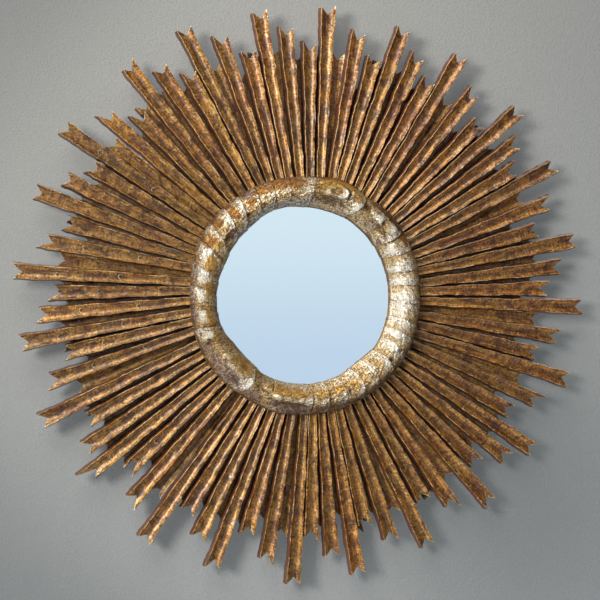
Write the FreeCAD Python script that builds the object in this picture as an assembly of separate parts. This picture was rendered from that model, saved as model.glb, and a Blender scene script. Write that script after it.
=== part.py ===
import FreeCAD, Part
import math
import os

# Sunburst mirror: a round glass in a carved ring, with three lengths of grooved rays in front of a
# tier of shorter rays, all nailed to a round back board that hangs by a ring hanger.
#
# Frame: millimetres, +Z up, -Y towards the front. The flat back lies in the plane y = 0, and the
# origin is its middle. Pieces are modelled lying on a bench, face up, in x (right), y (up the
# mirror) and z (height above the back), and stand_up() turns them upright. Angles of rays and of
# carved scales run clockwise from the top, as seen from the front.

# Overall sizes
burst_radius = 460.0
ring_outer_radius = 187.0
glass_sight_radius = 137.0

# Back board, cover and spacer
board_radius = 300.0
board_thickness = 15.0
board_edge_chamfer = 2.0
bore_radius = 150.0
cover_radius = 160.0
cover_thickness = 3.2
spacer_outer_radius = 176.0

# Glass and what holds it in the ring
glass_radius = 146.8
glass_thickness = 4.0
card_thickness = 2.0
rebate_clearance = 0.5
hoop_width = 9.0
bore_clearance = 0.3

# Rays
rear_ray_thickness = 12.0
front_ray_thickness = 17.0
ray_tip_width = 23.5
rear_ray_tip_width = 22.0
ray_root_gap = 3.6
ray_root_clearance = 2.0
ray_seat_radius = 200.0
rim_width = 1.3
root_groove_depth = 4.5
tip_groove_depth = 8.0
notch_depth = 11.0
rear_notch_depth = 9.0
horn_tip_width = 1.6
ray_back_bevel = 2.0

# Carved ring
ring_crest_height = 32.0
ring_skirt_height = 20.0
ring_lip_thickness = 4.0
ring_outer_foot = 4.0
scale_step_height = 4.5
scale_step_width = 2.5

# Nails through the rays
nail_shank_radius = 0.9
nail_head_radius = 1.7
nail_head_height = 0.9
nail_bite = 10.0
front_nail_inset = 27.0
rear_nail_offset = 9.0

# Countersunk wood screws
ring_screw_radius = 168.0
ring_screw_shank = 2.1
ring_screw_head = 4.2
ring_screw_bite = 16.0
cover_screw_radius = 155.4
cover_screw_shank = 1.4
cover_screw_head = 2.9
cover_screw_bite = 9.0
hanger_screw_shank = 1.5
hanger_screw_head = 3.0
hanger_screw_bite = 4.0
screw_slot_width = 0.9
screw_slot_depth = 1.0
screw_point_share = 0.25
hole_clearance = 0.1

# Ring hanger in its pocket
pocket_width = 34.0
pocket_height = 64.0
pocket_depth = 9.5
pocket_corner = 4.0
pocket_centre_height = 238.0
strap_width = 10.0
strap_length = 34.0
strap_thickness = 1.2
strap_end_radius = 4.0
wire_radius = 1.5
eye_clearance = 0.15
ring_half_width = 9.5
ring_corner_radius = 3.5
ring_leg = 4.0
eye_above_centre = 4.0
first_hanger_screw = 9.5
second_hanger_screw = 25.0

# How far a cutting tool runs past the face that it cuts
overrun = 1.0

# Front rays, read by eye against a polar grid: degrees at the tip, degrees at the seat beside the
# ring, and the reach of the tip's two horns, anticlockwise then clockwise, as shares of burst_radius
long_ray_shares = [
    (4.7, 7.2, 0.991, 0.998), (20.6, 21.3, 0.989, 0.985), (33.5, 35.4, 0.998, 1.006),
    (49.6, 50.3, 0.998, 1.000), (62.9, 64.1, 0.998, 1.008), (78.6, 78.3, 0.987, 0.987),
    (92.3, 92.7, 0.989, 1.000), (107.5, 108.4, 0.985, 0.991), (123.6, 124.1, 0.976, 0.978),
    (137.7, 138.2, 0.976, 0.983), (153.5, 153.8, 0.967, 0.970), (169.0, 167.6, 0.974, 0.978),
    (182.4, 180.7, 0.987, 0.989), (199.2, 196.9, 0.970, 0.983), (213.8, 211.8, 0.993, 0.991),
    (230.8, 230.2, 0.939, 0.983), (244.9, 245.8, 0.985, 0.989), (260.7, 261.6, 0.970, 0.974),
    (274.8, 276.4, 0.985, 0.991), (290.9, 291.8, 0.974, 0.983), (304.4, 305.2, 0.996, 0.993),
    (322.0, 322.4, 0.980, 0.991), (335.2, 337.9, 0.998, 0.991), (350.7, 352.0, 0.980, 0.983),
]
middle_ray_shares = [
    (11.7, 12.9, 0.937, 0.922), (25.6, 26.4, 0.930, 0.915), (40.1, 41.0, 0.943, 0.922),
    (54.6, 55.3, 0.937, 0.920), (69.4, 69.6, 0.943, 0.922), (83.6, 83.8, 0.926, 0.913),
    (99.0, 99.6, 0.928, 0.909), (114.0, 113.7, 0.930, 0.902), (128.3, 128.9, 0.920, 0.913),
    (144.4, 143.7, 0.917, 0.891), (160.2, 159.0, 0.902, 0.891), (174.0, 172.3, 0.898, 0.900),
    (188.5, 187.0, 0.930, 0.909), (204.2, 201.8, 0.900, 0.900), (220.5, 219.6, 0.930, 0.907),
    (235.6, 235.1, 0.904, 0.907), (251.6, 252.5, 0.924, 0.904), (265.8, 267.2, 0.913, 0.900),
    (281.6, 283.3, 0.924, 0.896), (295.6, 296.1, 0.907, 0.904), (311.7, 312.8, 0.933, 0.902),
    (327.0, 328.0, 0.917, 0.915), (341.5, 342.7, 0.937, 0.920), (355.8, 357.4, 0.924, 0.913),
]
short_ray_shares = [
    (16.6, 17.1, 0.857, 0.854), (30.3, 30.9, 0.874, 0.861), (45.7, 46.2, 0.865, 0.861),
    (59.3, 59.9, 0.883, 0.859), (74.4, 74.0, 0.857, 0.857), (88.3, 88.0, 0.874, 0.861),
    (103.8, 104.1, 0.852, 0.848), (119.0, 119.0, 0.839, 0.835), (133.8, 133.4, 0.848, 0.841),
    (149.3, 148.4, 0.826, 0.822), (165.1, 163.5, 0.826, 0.815), (178.5, 176.6, 0.843, 0.826),
    (194.0, 192.0, 0.835, 0.841), (209.0, 206.6, 0.839, 0.835), (225.8, 225.1, 0.848, 0.826),
    (240.6, 240.6, 0.852, 0.843), (256.8, 257.2, 0.839, 0.830), (270.6, 272.0, 0.870, 0.848),
    (286.6, 287.5, 0.854, 0.843), (300.6, 300.6, 0.857, 0.843), (316.7, 317.5, 0.854, 0.826),
    (332.0, 333.1, 0.865, 0.848), (346.8, 347.5, 0.857, 0.852), (1.0, 2.2, 0.874, 0.861),
]
# Rear rays, one behind each gap: the reach of the one after each long, middle and short ray
rear_reach_shares = [
    (0.852, 0.761, 0.857), (0.865, 0.843, 0.783), (0.859, 0.809, 0.861), (0.865, 0.843, 0.804),
    (0.861, 0.804, 0.859), (0.859, 0.839, 0.804), (0.848, 0.796, 0.848), (0.843, 0.789, 0.839),
    (0.843, 0.820, 0.815), (0.828, 0.843, 0.828), (0.824, 0.813, 0.848), (0.785, 0.817, 0.826),
    (0.833, 0.793, 0.826), (0.830, 0.809, 0.835), (0.848, 0.793, 0.848), (0.865, 0.826, 0.848),
    (0.835, 0.789, 0.835), (0.850, 0.830, 0.843), (0.848, 0.787, 0.843), (0.848, 0.822, 0.830),
    (0.843, 0.796, 0.857), (0.865, 0.833, 0.804), (0.850, 0.800, 0.857), (0.861, 0.837, 0.848),
]
rear_horn_difference_share = 0.008

# Carved scales: the angle where each begins, and which way its raised end points
# (1 clockwise, -1 anticlockwise); a long leaf is one scale with a wide span
scale_starts = [
    (5.0, 1), (34.0, 1), (57.0, 1), (66.5, 1), (76.5, 1), (85.0, 1), (94.0, -1), (103.0, -1),
    (111.0, -1), (119.0, -1), (127.5, -1), (136.5, -1), (146.0, -1), (155.5, -1), (165.5, -1),
    (174.5, -1), (210.0, -1), (243.0, 1), (252.5, 1), (262.0, 1), (273.0, 1), (284.0, 1),
    (295.0, 1), (306.0, 1), (316.0, 1), (325.5, 1), (334.5, 1), (343.5, 1), (352.0, 1),
]
scale_slant = 14.0
leaf_section_step = 11.0

# Counts and screw angles
rays_per_length = 24
rays_per_tier = 3 * rays_per_length
ring_screw_count = 8
cover_screw_count = 8

# Heights above the flat back, each from the piece below it
rear_ray_base = board_thickness
front_ray_base = rear_ray_base + rear_ray_thickness
ring_seat = front_ray_base + front_ray_thickness
ring_base = ring_seat - ring_skirt_height
glass_back = ring_base + card_thickness
glass_face = glass_back + glass_thickness
ring_lip = glass_face + ring_lip_thickness
ring_crest = ring_seat + ring_crest_height

# Radii across the front, each from the piece inside it
ray_root_radius = spacer_outer_radius + ray_root_clearance
ray_root_pitch = 2 * math.pi * ray_root_radius / rays_per_tier
ray_root_width = ray_root_pitch - ray_root_gap
rebate_radius = glass_radius + rebate_clearance
ring_middle_radius = (ring_outer_radius + glass_sight_radius) / 2
ring_half_span = (ring_outer_radius - glass_sight_radius) / 2
front_nail_radius = board_radius - front_nail_inset
rear_nail_radius = ring_outer_radius + rear_nail_offset

# Ring hanger, worked out from the pocket's floor
eye_inner_radius = wire_radius + eye_clearance
eye_outer_radius = eye_inner_radius + strap_thickness
eye_height = pocket_centre_height + eye_above_centre
eye_level = pocket_depth - strap_thickness - eye_inner_radius

Z_AXIS = FreeCAD.Vector(0, 0, 1)
CENTRE = FreeCAD.Vector(0, 0, 0)


def polar(radius, degrees, height=0.0):
    """The bench point at a radius and a clock angle, at a height above the back."""
    turn = math.radians(degrees)
    return FreeCAD.Vector(radius * math.sin(turn), radius * math.cos(turn), height)


def stand_up(shape):
    """Turns a shape from the bench, face up, to upright, facing the front."""
    upright = shape.copy()
    upright.rotate(CENTRE, FreeCAD.Vector(1, 0, 0), 90)
    return upright


def save(name, solids):
    """Writes one node, as one solid or as a group of separate solids."""
    shape = solids[0] if len(solids) == 1 else Part.makeCompound(solids)
    stand_up(shape).exportStep(f"parts/{name}.step")
    volume = sum(solid.Volume for solid in solids)
    print(f"{name}: {len(solids)} solids, {volume / 1000:.1f} cm3")


def disc(radius, bottom, top):
    """A round plate about the mirror's axis."""
    return Part.makeCylinder(radius, top - bottom, FreeCAD.Vector(0, 0, bottom))


def annulus(inner, outer, bottom, top):
    """A round plate with a bore."""
    return disc(outer, bottom, top).cut(disc(inner, bottom - overrun, top + overrun))


# Rays


class Ray:
    """One tapered, grooved stick whose end is notched into two horns."""

    def __init__(self, tip, seat, left_reach, right_reach, base, thickness, tip_width, notch):
        """tip and seat are clock angles; the reaches are those of the two horns."""
        self.base = base
        self.thickness = thickness
        self.tip_width = tip_width
        self.notch = notch
        self.tip_angle = tip
        self.seat_angle = seat
        self.reach = max(left_reach, right_reach)
        end = polar(self.reach, tip)
        along = end - polar(ray_seat_radius, seat)
        along.normalize()
        self.along = along
        self.across = along.cross(Z_AXIS)
        self.root = polar(ray_seat_radius, seat) - along * (ray_seat_radius - ray_root_radius)
        self.length = (end - self.root).dot(along)
        self.left_length = self.length - (self.reach - left_reach)
        self.right_length = self.length - (self.reach - right_reach)

    def point(self, along, across, height):
        """A bench point from distances along and across the stick and above its back."""
        flat = self.root + self.along * along + self.across * across
        return flat + Z_AXIS * (self.base + height)

    def section(self, along, width, groove):
        """The stick's outline at one place: bevelled back, narrow rims and the V groove."""
        half = width / 2
        corners = [
            (-half + ray_back_bevel, 0),
            (half - ray_back_bevel, 0),
            (half, ray_back_bevel),
            (half, self.thickness),
            (half - rim_width, self.thickness),
            (0, self.thickness - groove),
            (-half + rim_width, self.thickness),
            (-half, self.thickness),
            (-half, ray_back_bevel),
        ]
        points = [self.point(along, across, height) for across, height in corners]
        return Part.makePolygon(points + points[:1])

    def groove_at(self, along):
        """The groove's depth at a distance from the root."""
        return root_groove_depth + (tip_groove_depth - root_groove_depth) * along / self.length

    def notch_tool(self):
        """A prism that cuts the end into two horns, each as long as its reach."""
        half = self.tip_width / 2
        mouth = half - horn_tip_width / 2
        bottom = min(self.left_length, self.right_length) - self.notch
        past = self.length + overrun
        outline = [
            (bottom, 0),
            (self.right_length, mouth),
            (self.right_length, half + overrun),
            (past, half + overrun),
            (past, -half - overrun),
            (self.left_length, -half - overrun),
            (self.left_length, -mouth),
        ]
        points = [self.point(along, across, -overrun) for along, across in outline]
        face = Part.Face(Part.makePolygon(points + points[:1]))
        return face.extrude(Z_AXIS * (self.thickness + 2 * overrun))

    def nail_place(self, radius):
        """Distance along the stick to a nail at a radius from the mirror's axis."""
        return radius - ray_root_radius

    def nail(self, radius, clearance=0.0):
        """A nail from the groove down into the board, or the hole that clears it."""
        along = self.nail_place(radius)
        seat = self.thickness - self.groove_at(along)
        foot = self.point(along, 0, 0)
        foot.z = board_thickness - nail_bite - clearance
        head = self.point(along, 0, seat)
        shank = Part.makeCylinder(nail_shank_radius + clearance, head.z - foot.z, foot)
        top = head - Z_AXIS * clearance
        lift = nail_head_height + clearance
        if clearance:
            lift += tip_groove_depth
        cap = Part.makeCylinder(nail_head_radius + clearance, lift, top)
        return shank.fuse(cap).removeSplitter()

    def solid(self, nail_holes):
        """The finished stick, with its notch and the holes of the nails that pass through it."""
        wires = [
            self.section(0, ray_root_width, root_groove_depth),
            self.section(self.length, self.tip_width, tip_groove_depth),
        ]
        stick = Part.makeLoft(wires, True, True)
        return stick.cut([self.notch_tool()] + nail_holes).Solids[0]


def front_rays(rows):
    """The front rays of one length, from its table."""
    rays = []
    for tip, seat, left, right in rows:
        reaches = (left * burst_radius, right * burst_radius)
        ray = Ray(tip, seat, *reaches, front_ray_base, front_ray_thickness, ray_tip_width, notch_depth)
        rays.append(ray)
    return rays


def between(first, second):
    """The clock angle halfway from one ray to the next."""
    return first + ((second - first) % 360) / 2


def rear_rays(front):
    """The rear rays, each halfway between two neighbouring front rays."""
    reaches = [share * burst_radius for row in rear_reach_shares for share in row]
    rays = []
    for place, reach in enumerate(reaches):
        one = front[place]
        two = front[(place + 1) % len(front)]
        tip = between(one.tip_angle, two.tip_angle)
        seat = between(one.seat_angle, two.seat_angle)
        left = reach - rear_horn_difference_share * burst_radius * (place % 2)
        right = reach - rear_horn_difference_share * burst_radius * ((place + 1) % 2)
        sizes = (rear_ray_base, rear_ray_thickness, rear_ray_tip_width, rear_notch_depth)
        rays.append(Ray(tip, seat, left, right, *sizes))
    return rays


# Carved ring


def ring_section(degrees, swell):
    """The ring's outline on a slanted plane; swell is 0 at a scale's low end and 1 at its raised end."""
    drop = scale_step_height * (1 - swell)
    half = ring_half_span - scale_step_width * (1 - swell)
    crest = ring_crest - drop
    inner = ring_lip
    outer = ring_seat + ring_outer_foot
    middle = polar(ring_middle_radius, degrees)
    out = polar(1, degrees + scale_slant)
    stretch = 1 / math.cos(math.radians(scale_slant))

    def place(across, height):
        """A point of the outline, across the ring and above the back."""
        return middle + out * (across * stretch) + Z_AXIS * height

    bulge = math.sin(math.radians(45))
    inner_start = place(-ring_half_span, inner)
    outer_start = place(half, outer)
    top = place(0, crest)
    inner_way = place(-ring_half_span * bulge, inner + (crest - inner) * bulge)
    outer_way = place(half * bulge, outer + (crest - outer) * bulge)
    inner_floor = place(-ring_half_span, ring_base)
    outer_floor = place(half, ring_base)
    edges = [
        Part.makeLine(inner_floor, inner_start),
        Part.Arc(inner_start, inner_way, top).toShape(),
        Part.Arc(top, outer_way, outer_start).toShape(),
        Part.makeLine(outer_start, outer_floor),
        Part.makeLine(outer_floor, inner_floor),
    ]
    return Part.Wire(edges)


def scale_block(start, end, way):
    """One carved scale: the ring's outline swells from its low end to its raised end."""
    steps = max(2, round((end - start) / leaf_section_step))
    wires = []
    for step in range(steps + 1):
        share = step / steps
        rise = share if way > 0 else 1 - share
        wires.append(ring_section(start + (end - start) * share, math.sqrt(rise)))
    return Part.makeLoft(wires, True, False)


def carved_ring(screw_holes):
    """The carved ring: its scales joined end to end, then turned, rebated and drilled."""
    blocks = []
    for place, (start, way) in enumerate(scale_starts):
        end = scale_starts[(place + 1) % len(scale_starts)][0]
        if end <= start:
            end += 360
        blocks.append(scale_block(start, end, way))
    ring = blocks[0].fuse(blocks[1:])
    sight = disc(glass_sight_radius, ring_base - overrun, ring_crest)
    rebate = disc(rebate_radius, ring_base - overrun, glass_face)
    past_ring = ring_outer_radius + ring_half_span
    shoulder = annulus(spacer_outer_radius, past_ring, ring_base - overrun, ring_seat)
    return ring.cut([sight, rebate, shoulder] + screw_holes).Solids[0]


# Screws


def screw(spot, shank, head, length, clearance=0.0):
    """A slotted countersunk screw driven towards the front from a spot, or the hole that clears it."""
    head_depth = head - shank
    radius = shank + clearance
    body = Part.makeCylinder(radius, length - shank + clearance, spot)
    point_spot = spot + Z_AXIS * (length - shank + clearance)
    point = Part.makeCone(radius, radius * screw_point_share, shank, point_spot)
    sink = Part.makeCone(head + clearance, radius, head_depth + clearance, spot)
    made = body.fuse([point, sink]).removeSplitter()
    if clearance:
        mouth = Part.makeCylinder(head + clearance, overrun, spot - Z_AXIS * overrun)
        return made.fuse(mouth).removeSplitter()
    slot_corner = spot - FreeCAD.Vector(head, screw_slot_width / 2, 0)
    slot = Part.makeBox(2 * head, screw_slot_width, screw_slot_depth, slot_corner)
    return made.cut(slot)


def ring_screw_sizes():
    """Shank, head and length of the screws that hold the ring through board and spacer."""
    return ring_screw_shank, ring_screw_head, ring_base + ring_screw_bite


def cover_screw_sizes():
    """Shank, head and length of the screws that hold the cover."""
    return cover_screw_shank, cover_screw_head, cover_thickness + cover_screw_bite


def round_spots(count, radius, first_share):
    """Spots on a circle on the back, starting a share of one step from the top."""
    step = 360 / count
    return [polar(radius, step * (place + first_share)) for place in range(count)]


def hanger_spots():
    """Where the two hanger screws go through the strap."""
    level = pocket_depth - strap_thickness
    drops = (first_hanger_screw, second_hanger_screw)
    return [FreeCAD.Vector(0, eye_height - drop, level) for drop in drops]


def hanger_screw_sizes():
    """Shank, head and length of the hanger's screws."""
    return hanger_screw_shank, hanger_screw_head, strap_thickness + hanger_screw_bite


# Ring hanger


def hanger_strap():
    """A flat strap whose upper end is rolled into an eye round the ring's straight side."""
    floor = pocket_depth
    left = -strap_width / 2
    corner = FreeCAD.Vector(left, eye_height - strap_length, floor - strap_thickness)
    plate = Part.makeBox(strap_width, strap_length, strap_thickness, corner)
    upright = [edge for edge in plate.Edges if abs(edge.Vertexes[0].Z - edge.Vertexes[1].Z) > eye_clearance]
    low = [edge for edge in upright if edge.Vertexes[0].Y < eye_height - strap_length / 2]
    plate = plate.makeFillet(strap_end_radius, low)
    start = FreeCAD.Vector(left, eye_height, eye_level)
    side = FreeCAD.Vector(1, 0, 0)
    roll = Part.makeCylinder(eye_outer_radius, strap_width, start, side)
    eye_start = start - side * overrun
    eye = Part.makeCylinder(eye_inner_radius, strap_width + 2 * overrun, eye_start, side)
    strap = plate.fuse(roll).cut(eye)
    for spot in hanger_spots():
        strap = strap.cut(screw(spot, *hanger_screw_sizes(), hole_clearance))
    return strap.removeSplitter()


def hanger_ring():
    """A wire bent into a D that hangs from the eye: straight side, corners, legs and half round."""
    straight = ring_half_width - ring_corner_radius
    bend = ring_corner_radius * (1 - math.cos(math.radians(45)))

    def place(across, drop):
        """A point on the wire's centre line, a drop below the eye."""
        return FreeCAD.Vector(across, eye_height - drop, eye_level)

    leg_end = ring_corner_radius + ring_leg
    edges = [
        Part.makeLine(place(-straight, 0), place(straight, 0)),
        Part.Arc(
            place(straight, 0),
            place(ring_half_width - bend, bend),
            place(ring_half_width, ring_corner_radius),
        ).toShape(),
        Part.makeLine(place(ring_half_width, ring_corner_radius), place(ring_half_width, leg_end)),
        Part.Arc(
            place(ring_half_width, leg_end),
            place(0, leg_end + ring_half_width),
            place(-ring_half_width, leg_end),
        ).toShape(),
        Part.makeLine(place(-ring_half_width, leg_end), place(-ring_half_width, ring_corner_radius)),
        Part.Arc(
            place(-ring_half_width, ring_corner_radius),
            place(-ring_half_width + bend, bend),
            place(-straight, 0),
        ).toShape(),
    ]
    path = Part.Wire(edges)
    start = place(-straight, 0)
    round_wire = Part.Wire(Part.makeCircle(wire_radius, start, FreeCAD.Vector(1, 0, 0)))
    return path.makePipeShell([round_wire], True, True)


def pocket():
    """The hollow that lets the hanger lie below the back of the board."""
    corner = FreeCAD.Vector(-pocket_width / 2, pocket_centre_height - pocket_height / 2, -overrun)
    block = Part.makeBox(pocket_width, pocket_height, pocket_depth + overrun, corner)
    upright = [edge for edge in block.Edges if abs(edge.Vertexes[0].Z - edge.Vertexes[1].Z) > pocket_depth]
    return block.makeFillet(pocket_corner, upright)


# Boards


def back_board(nail_holes, screw_holes):
    """The round board that everything is fixed to, with its bore, cover rebate and hanger pocket."""
    board = annulus(bore_radius, board_radius, 0, board_thickness)
    rim = [edge for edge in board.Edges if edge.Length > 2 * math.pi * bore_radius + overrun]
    rim = [edge for edge in rim if abs(edge.Vertexes[0].Z) < overrun]
    board = board.makeChamfer(board_edge_chamfer, rim)
    rebate = disc(cover_radius + bore_clearance, -overrun, cover_thickness)
    board = board.cut([rebate, pocket()] + screw_holes)
    return board.cut(nail_holes).Solids[0]


def main():
    """Makes every piece and writes one file for each node."""
    os.makedirs("parts", exist_ok=True)
    long_rays = front_rays(long_ray_shares)
    middle_rays = front_rays(middle_ray_shares)
    short_rays = front_rays(short_ray_shares)
    front = [ray for trio in zip(long_rays, middle_rays, short_rays) for ray in trio]
    rear = rear_rays(front)

    ring_spots = round_spots(ring_screw_count, ring_screw_radius, 0.5)
    cover_spots = round_spots(cover_screw_count, cover_screw_radius, 0.0)
    ring_holes = [screw(spot, *ring_screw_sizes(), hole_clearance) for spot in ring_spots]
    cover_holes = [screw(spot, *cover_screw_sizes(), hole_clearance) for spot in cover_spots]
    hanger_holes = [screw(spot, *hanger_screw_sizes(), hole_clearance) for spot in hanger_spots()]

    front_nails = [ray.nail(front_nail_radius) for ray in front]
    rear_nails = [ray.nail(rear_nail_radius) for ray in rear]
    front_holes = [ray.nail(front_nail_radius, hole_clearance) for ray in front]
    rear_holes = [ray.nail(rear_nail_radius, hole_clearance) for ray in rear]
    next_holes = front_holes[1:] + front_holes[:1]

    front_solids = [ray.solid([hole]) for ray, hole in zip(front, front_holes)]
    rear_solids = [
        ray.solid([own, before, after])
        for ray, own, before, after in zip(rear, rear_holes, front_holes, next_holes)
    ]
    for place, stick in enumerate(front_solids[0::3]):
        save(f"long_ray_{place + 1:02d}", [stick])
    save("middle_rays", front_solids[1::3])
    save("short_rays", front_solids[2::3])
    save("rear_rays_after_long", rear_solids[0::3])
    save("rear_rays_after_middle", rear_solids[1::3])
    save("rear_rays_after_short", rear_solids[2::3])

    save("carved_ring", [carved_ring(ring_holes)])
    save("mirror_glass", [disc(glass_radius, glass_back, glass_face)])
    save("backing_card", [disc(glass_radius, ring_base, glass_back)])
    hoop_outer = bore_radius - bore_clearance
    hoop = annulus(hoop_outer - hoop_width, hoop_outer, cover_thickness, ring_base)
    save("retaining_hoop", [hoop])
    spacer = annulus(bore_radius, spacer_outer_radius, board_thickness, ring_base)
    save("spacer_ring", [spacer.cut(ring_holes)])
    save("back_board", [back_board(front_holes + rear_holes, ring_holes + cover_holes + hanger_holes)])
    save("back_cover", [disc(cover_radius, 0, cover_thickness).cut(cover_holes)])

    save("front_ray_nails", front_nails)
    save("rear_ray_nails", rear_nails)
    save("ring_screws", [screw(spot, *ring_screw_sizes()) for spot in ring_spots])
    save("cover_screws", [screw(spot, *cover_screw_sizes()) for spot in cover_spots])
    save("hanger_screws", [screw(spot, *hanger_screw_sizes()) for spot in hanger_spots()])
    save("hanger_strap", [hanger_strap()])
    save("hanger_ring", [hanger_ring()])


main()
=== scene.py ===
"""Sunburst mirror: gilt rays, carved ring, glass and back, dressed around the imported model.

Metres, +Z up, the back plane at y = 0 and the face towards -Y. Angles round the mirror run clockwise
from the top, as seen from its face.
"""

import logging
import math
from dataclasses import dataclass, field
from enum import Enum

import bpy
import numpy as np
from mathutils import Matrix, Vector


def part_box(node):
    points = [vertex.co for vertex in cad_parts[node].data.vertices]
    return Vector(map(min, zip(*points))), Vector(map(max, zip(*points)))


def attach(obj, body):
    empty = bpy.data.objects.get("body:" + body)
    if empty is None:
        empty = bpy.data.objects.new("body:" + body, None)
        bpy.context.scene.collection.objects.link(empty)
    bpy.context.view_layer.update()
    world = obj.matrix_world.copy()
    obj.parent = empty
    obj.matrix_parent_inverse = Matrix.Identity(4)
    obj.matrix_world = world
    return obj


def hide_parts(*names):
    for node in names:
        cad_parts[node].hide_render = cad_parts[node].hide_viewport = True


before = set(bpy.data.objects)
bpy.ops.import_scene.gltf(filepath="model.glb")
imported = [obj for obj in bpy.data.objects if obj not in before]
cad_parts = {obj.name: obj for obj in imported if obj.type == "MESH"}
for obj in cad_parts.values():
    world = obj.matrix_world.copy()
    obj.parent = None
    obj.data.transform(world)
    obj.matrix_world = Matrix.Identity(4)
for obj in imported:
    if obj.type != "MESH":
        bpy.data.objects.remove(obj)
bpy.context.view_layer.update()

LOG = logging.getLogger("sunburst_mirror")
MM = 0.001
ROOT_BODY = "mirror_body"

# An irregular line: its waves' random lengths, how much shorter and lower each is, and its gain.
SWAY_LENGTHS = (0.8, 1.25)
SWAY_SHORTER, SWAY_LOWER, SWAY_GAIN = 1.9, 0.62, 1.6
# Dents: their random widths and depths, as shares of the usual ones.
DENT_WIDTHS = (0.5, 1.6)
DENT_DEPTHS = (0.25, 1.0)


class Tier(Enum):
    """Which layer of sticks a ray belongs to."""

    FRONT = "front"
    REAR = "rear"


class Blend(Enum):
    """How two colours are laid over each other."""

    MIX = "MIX"
    MULTIPLY = "MULTIPLY"


class Tone(Enum):
    """A tone of the ring, by its place among the tone shares: the leaf's own tones, dirt with painted shade,
    a painted reflection of the sky, painted light from the glass and a painted highlight.
    """

    AMBER = 0
    OCHRE = 1
    PURPLE_SKY_REFLECTION = 2
    DIRT_AND_SHADE = 3
    RED = 4
    GLASS_BOUNCE_LIGHT = 5
    PALE_HIGHLIGHT = 6


# Meshes


def smooth_step(values: np.ndarray, low: float, high: float) -> np.ndarray:
    """Rises from 0 at low to 1 at high with level ends: 3t squared less 2t cubed."""
    share = np.clip((values - low) / (high - low), 0.0, 1.0)
    return share * share * (3.0 - 2.0 * share)


def signed_turn(degrees: np.ndarray | float) -> np.ndarray | float:
    """The same angle between -180 and 180 degrees."""
    return (degrees + 180.0) % 360.0 - 180.0


def sway(places: np.ndarray, rng: np.random.Generator, longest: float, waves: int = 4) -> np.ndarray:
    """A smooth irregular line of about unit height.

    The sum of a few sines of random phase, each shorter and lower than the one before.

    Args:
        places: distances along the line, in metres.
        rng: the seeded source of phases.
        longest: the longest wavelength, in metres.
        waves: how many sines are summed.

    Returns:
        The height of the line at each place.
    """
    order = np.arange(waves)
    lengths = longest * rng.uniform(*SWAY_LENGTHS, waves) / SWAY_SHORTER**order
    phases = rng.uniform(0.0, 2.0 * math.pi, waves)
    heights = SWAY_LOWER**order
    turns = 2.0 * math.pi * places[..., None] / lengths + phases
    return (np.sin(turns) * heights).sum(axis=-1) / heights.sum() * SWAY_GAIN


def dents(places: np.ndarray, rng: np.random.Generator, count: int, width: float) -> np.ndarray:
    """Small bell-shaped dents at random places, 1 at the deepest.

    Args:
        places: distances along a line, in metres.
        rng: the seeded source of places and sizes.
        count: how many dents there are.
        width: the usual half width of a dent, in metres.

    Returns:
        The depth of the deepest dent at each place.
    """
    spots = rng.uniform(places.min(), places.max(), count)
    widths = width * rng.uniform(*DENT_WIDTHS, count)
    depths = rng.uniform(*DENT_DEPTHS, count)
    gaps = (places[..., None] - spots) / widths
    return (np.exp(-gaps * gaps) * depths).max(axis=-1)


def grid_faces(index: np.ndarray) -> np.ndarray:
    """The four corners of every cell of a grid of vertex numbers."""
    corners = [index[:-1, :-1], index[1:, :-1], index[1:, 1:], index[:-1, 1:]]
    return np.stack(corners, axis=-1).reshape(-1, 4)


def volume_of(points: np.ndarray, quads: np.ndarray) -> float:
    """Six times the signed volume inside a closed shell.

    The sum, over the triangles of its faces, of the triple product of their corners.

    Args:
        points: the shell's points.
        quads: its faces.

    Returns:
        More than zero where the faces point outwards.
    """
    shifted = points - points[0]
    a, b, c, d = (shifted[quads[:, corner]] for corner in range(4))
    first = np.einsum("ij,ij->i", a, np.cross(b, c)).sum()
    return float(first + np.einsum("ij,ij->i", a, np.cross(c, d)).sum())


def make_piece(name: str, shells: list["Shell"], sharp_degrees: float) -> bpy.types.Object:
    """Makes one object from closed shells of four-cornered faces.

    Args:
        name: the piece's name.
        shells: the shells, each with its points, faces and vertex attributes.
        sharp_degrees: an edge that turns by more than this is shaded sharp.

    Returns:
        The new object, at the origin.
    """
    starts = np.cumsum([0] + [len(shell.points) for shell in shells[:-1]])
    points = np.concatenate([shell.points for shell in shells])
    quads = np.concatenate([shell.outward() + start for shell, start in zip(shells, starts)])
    mesh = bpy.data.meshes.new(name)
    mesh.vertices.add(len(points))
    mesh.vertices.foreach_set("co", points.astype(np.float32).ravel())
    mesh.loops.add(quads.size)
    mesh.loops.foreach_set("vertex_index", quads.astype(np.int32).ravel())
    mesh.polygons.add(len(quads))
    mesh.polygons.foreach_set("loop_start", np.arange(0, quads.size, 4, dtype=np.int32))
    mesh.update(calc_edges=True)
    for label in shells[0].marks:
        values = np.concatenate([shell.marks[label] for shell in shells])
        layer = mesh.attributes.new(label, "FLOAT_VECTOR", "POINT")
        layer.data.foreach_set("vector", values.astype(np.float32).ravel())
    mesh.polygons.foreach_set("use_smooth", np.ones(len(quads), dtype=bool))
    mesh.set_sharp_from_angle(angle=math.radians(sharp_degrees))
    piece = bpy.data.objects.new(name, mesh)
    bpy.context.scene.collection.objects.link(piece)
    return piece


@dataclass
class Shell:
    """A closed surface: its points, its four-cornered faces and a vector of marks at each point."""

    points: np.ndarray
    quads: np.ndarray
    marks: dict[str, np.ndarray]

    def outward(self) -> np.ndarray:
        """The faces, turned so that their normals point out of the shell."""
        if volume_of(self.points, self.quads) < 0.0:
            return self.quads[:, ::-1]
        return self.quads


# Materials


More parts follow.
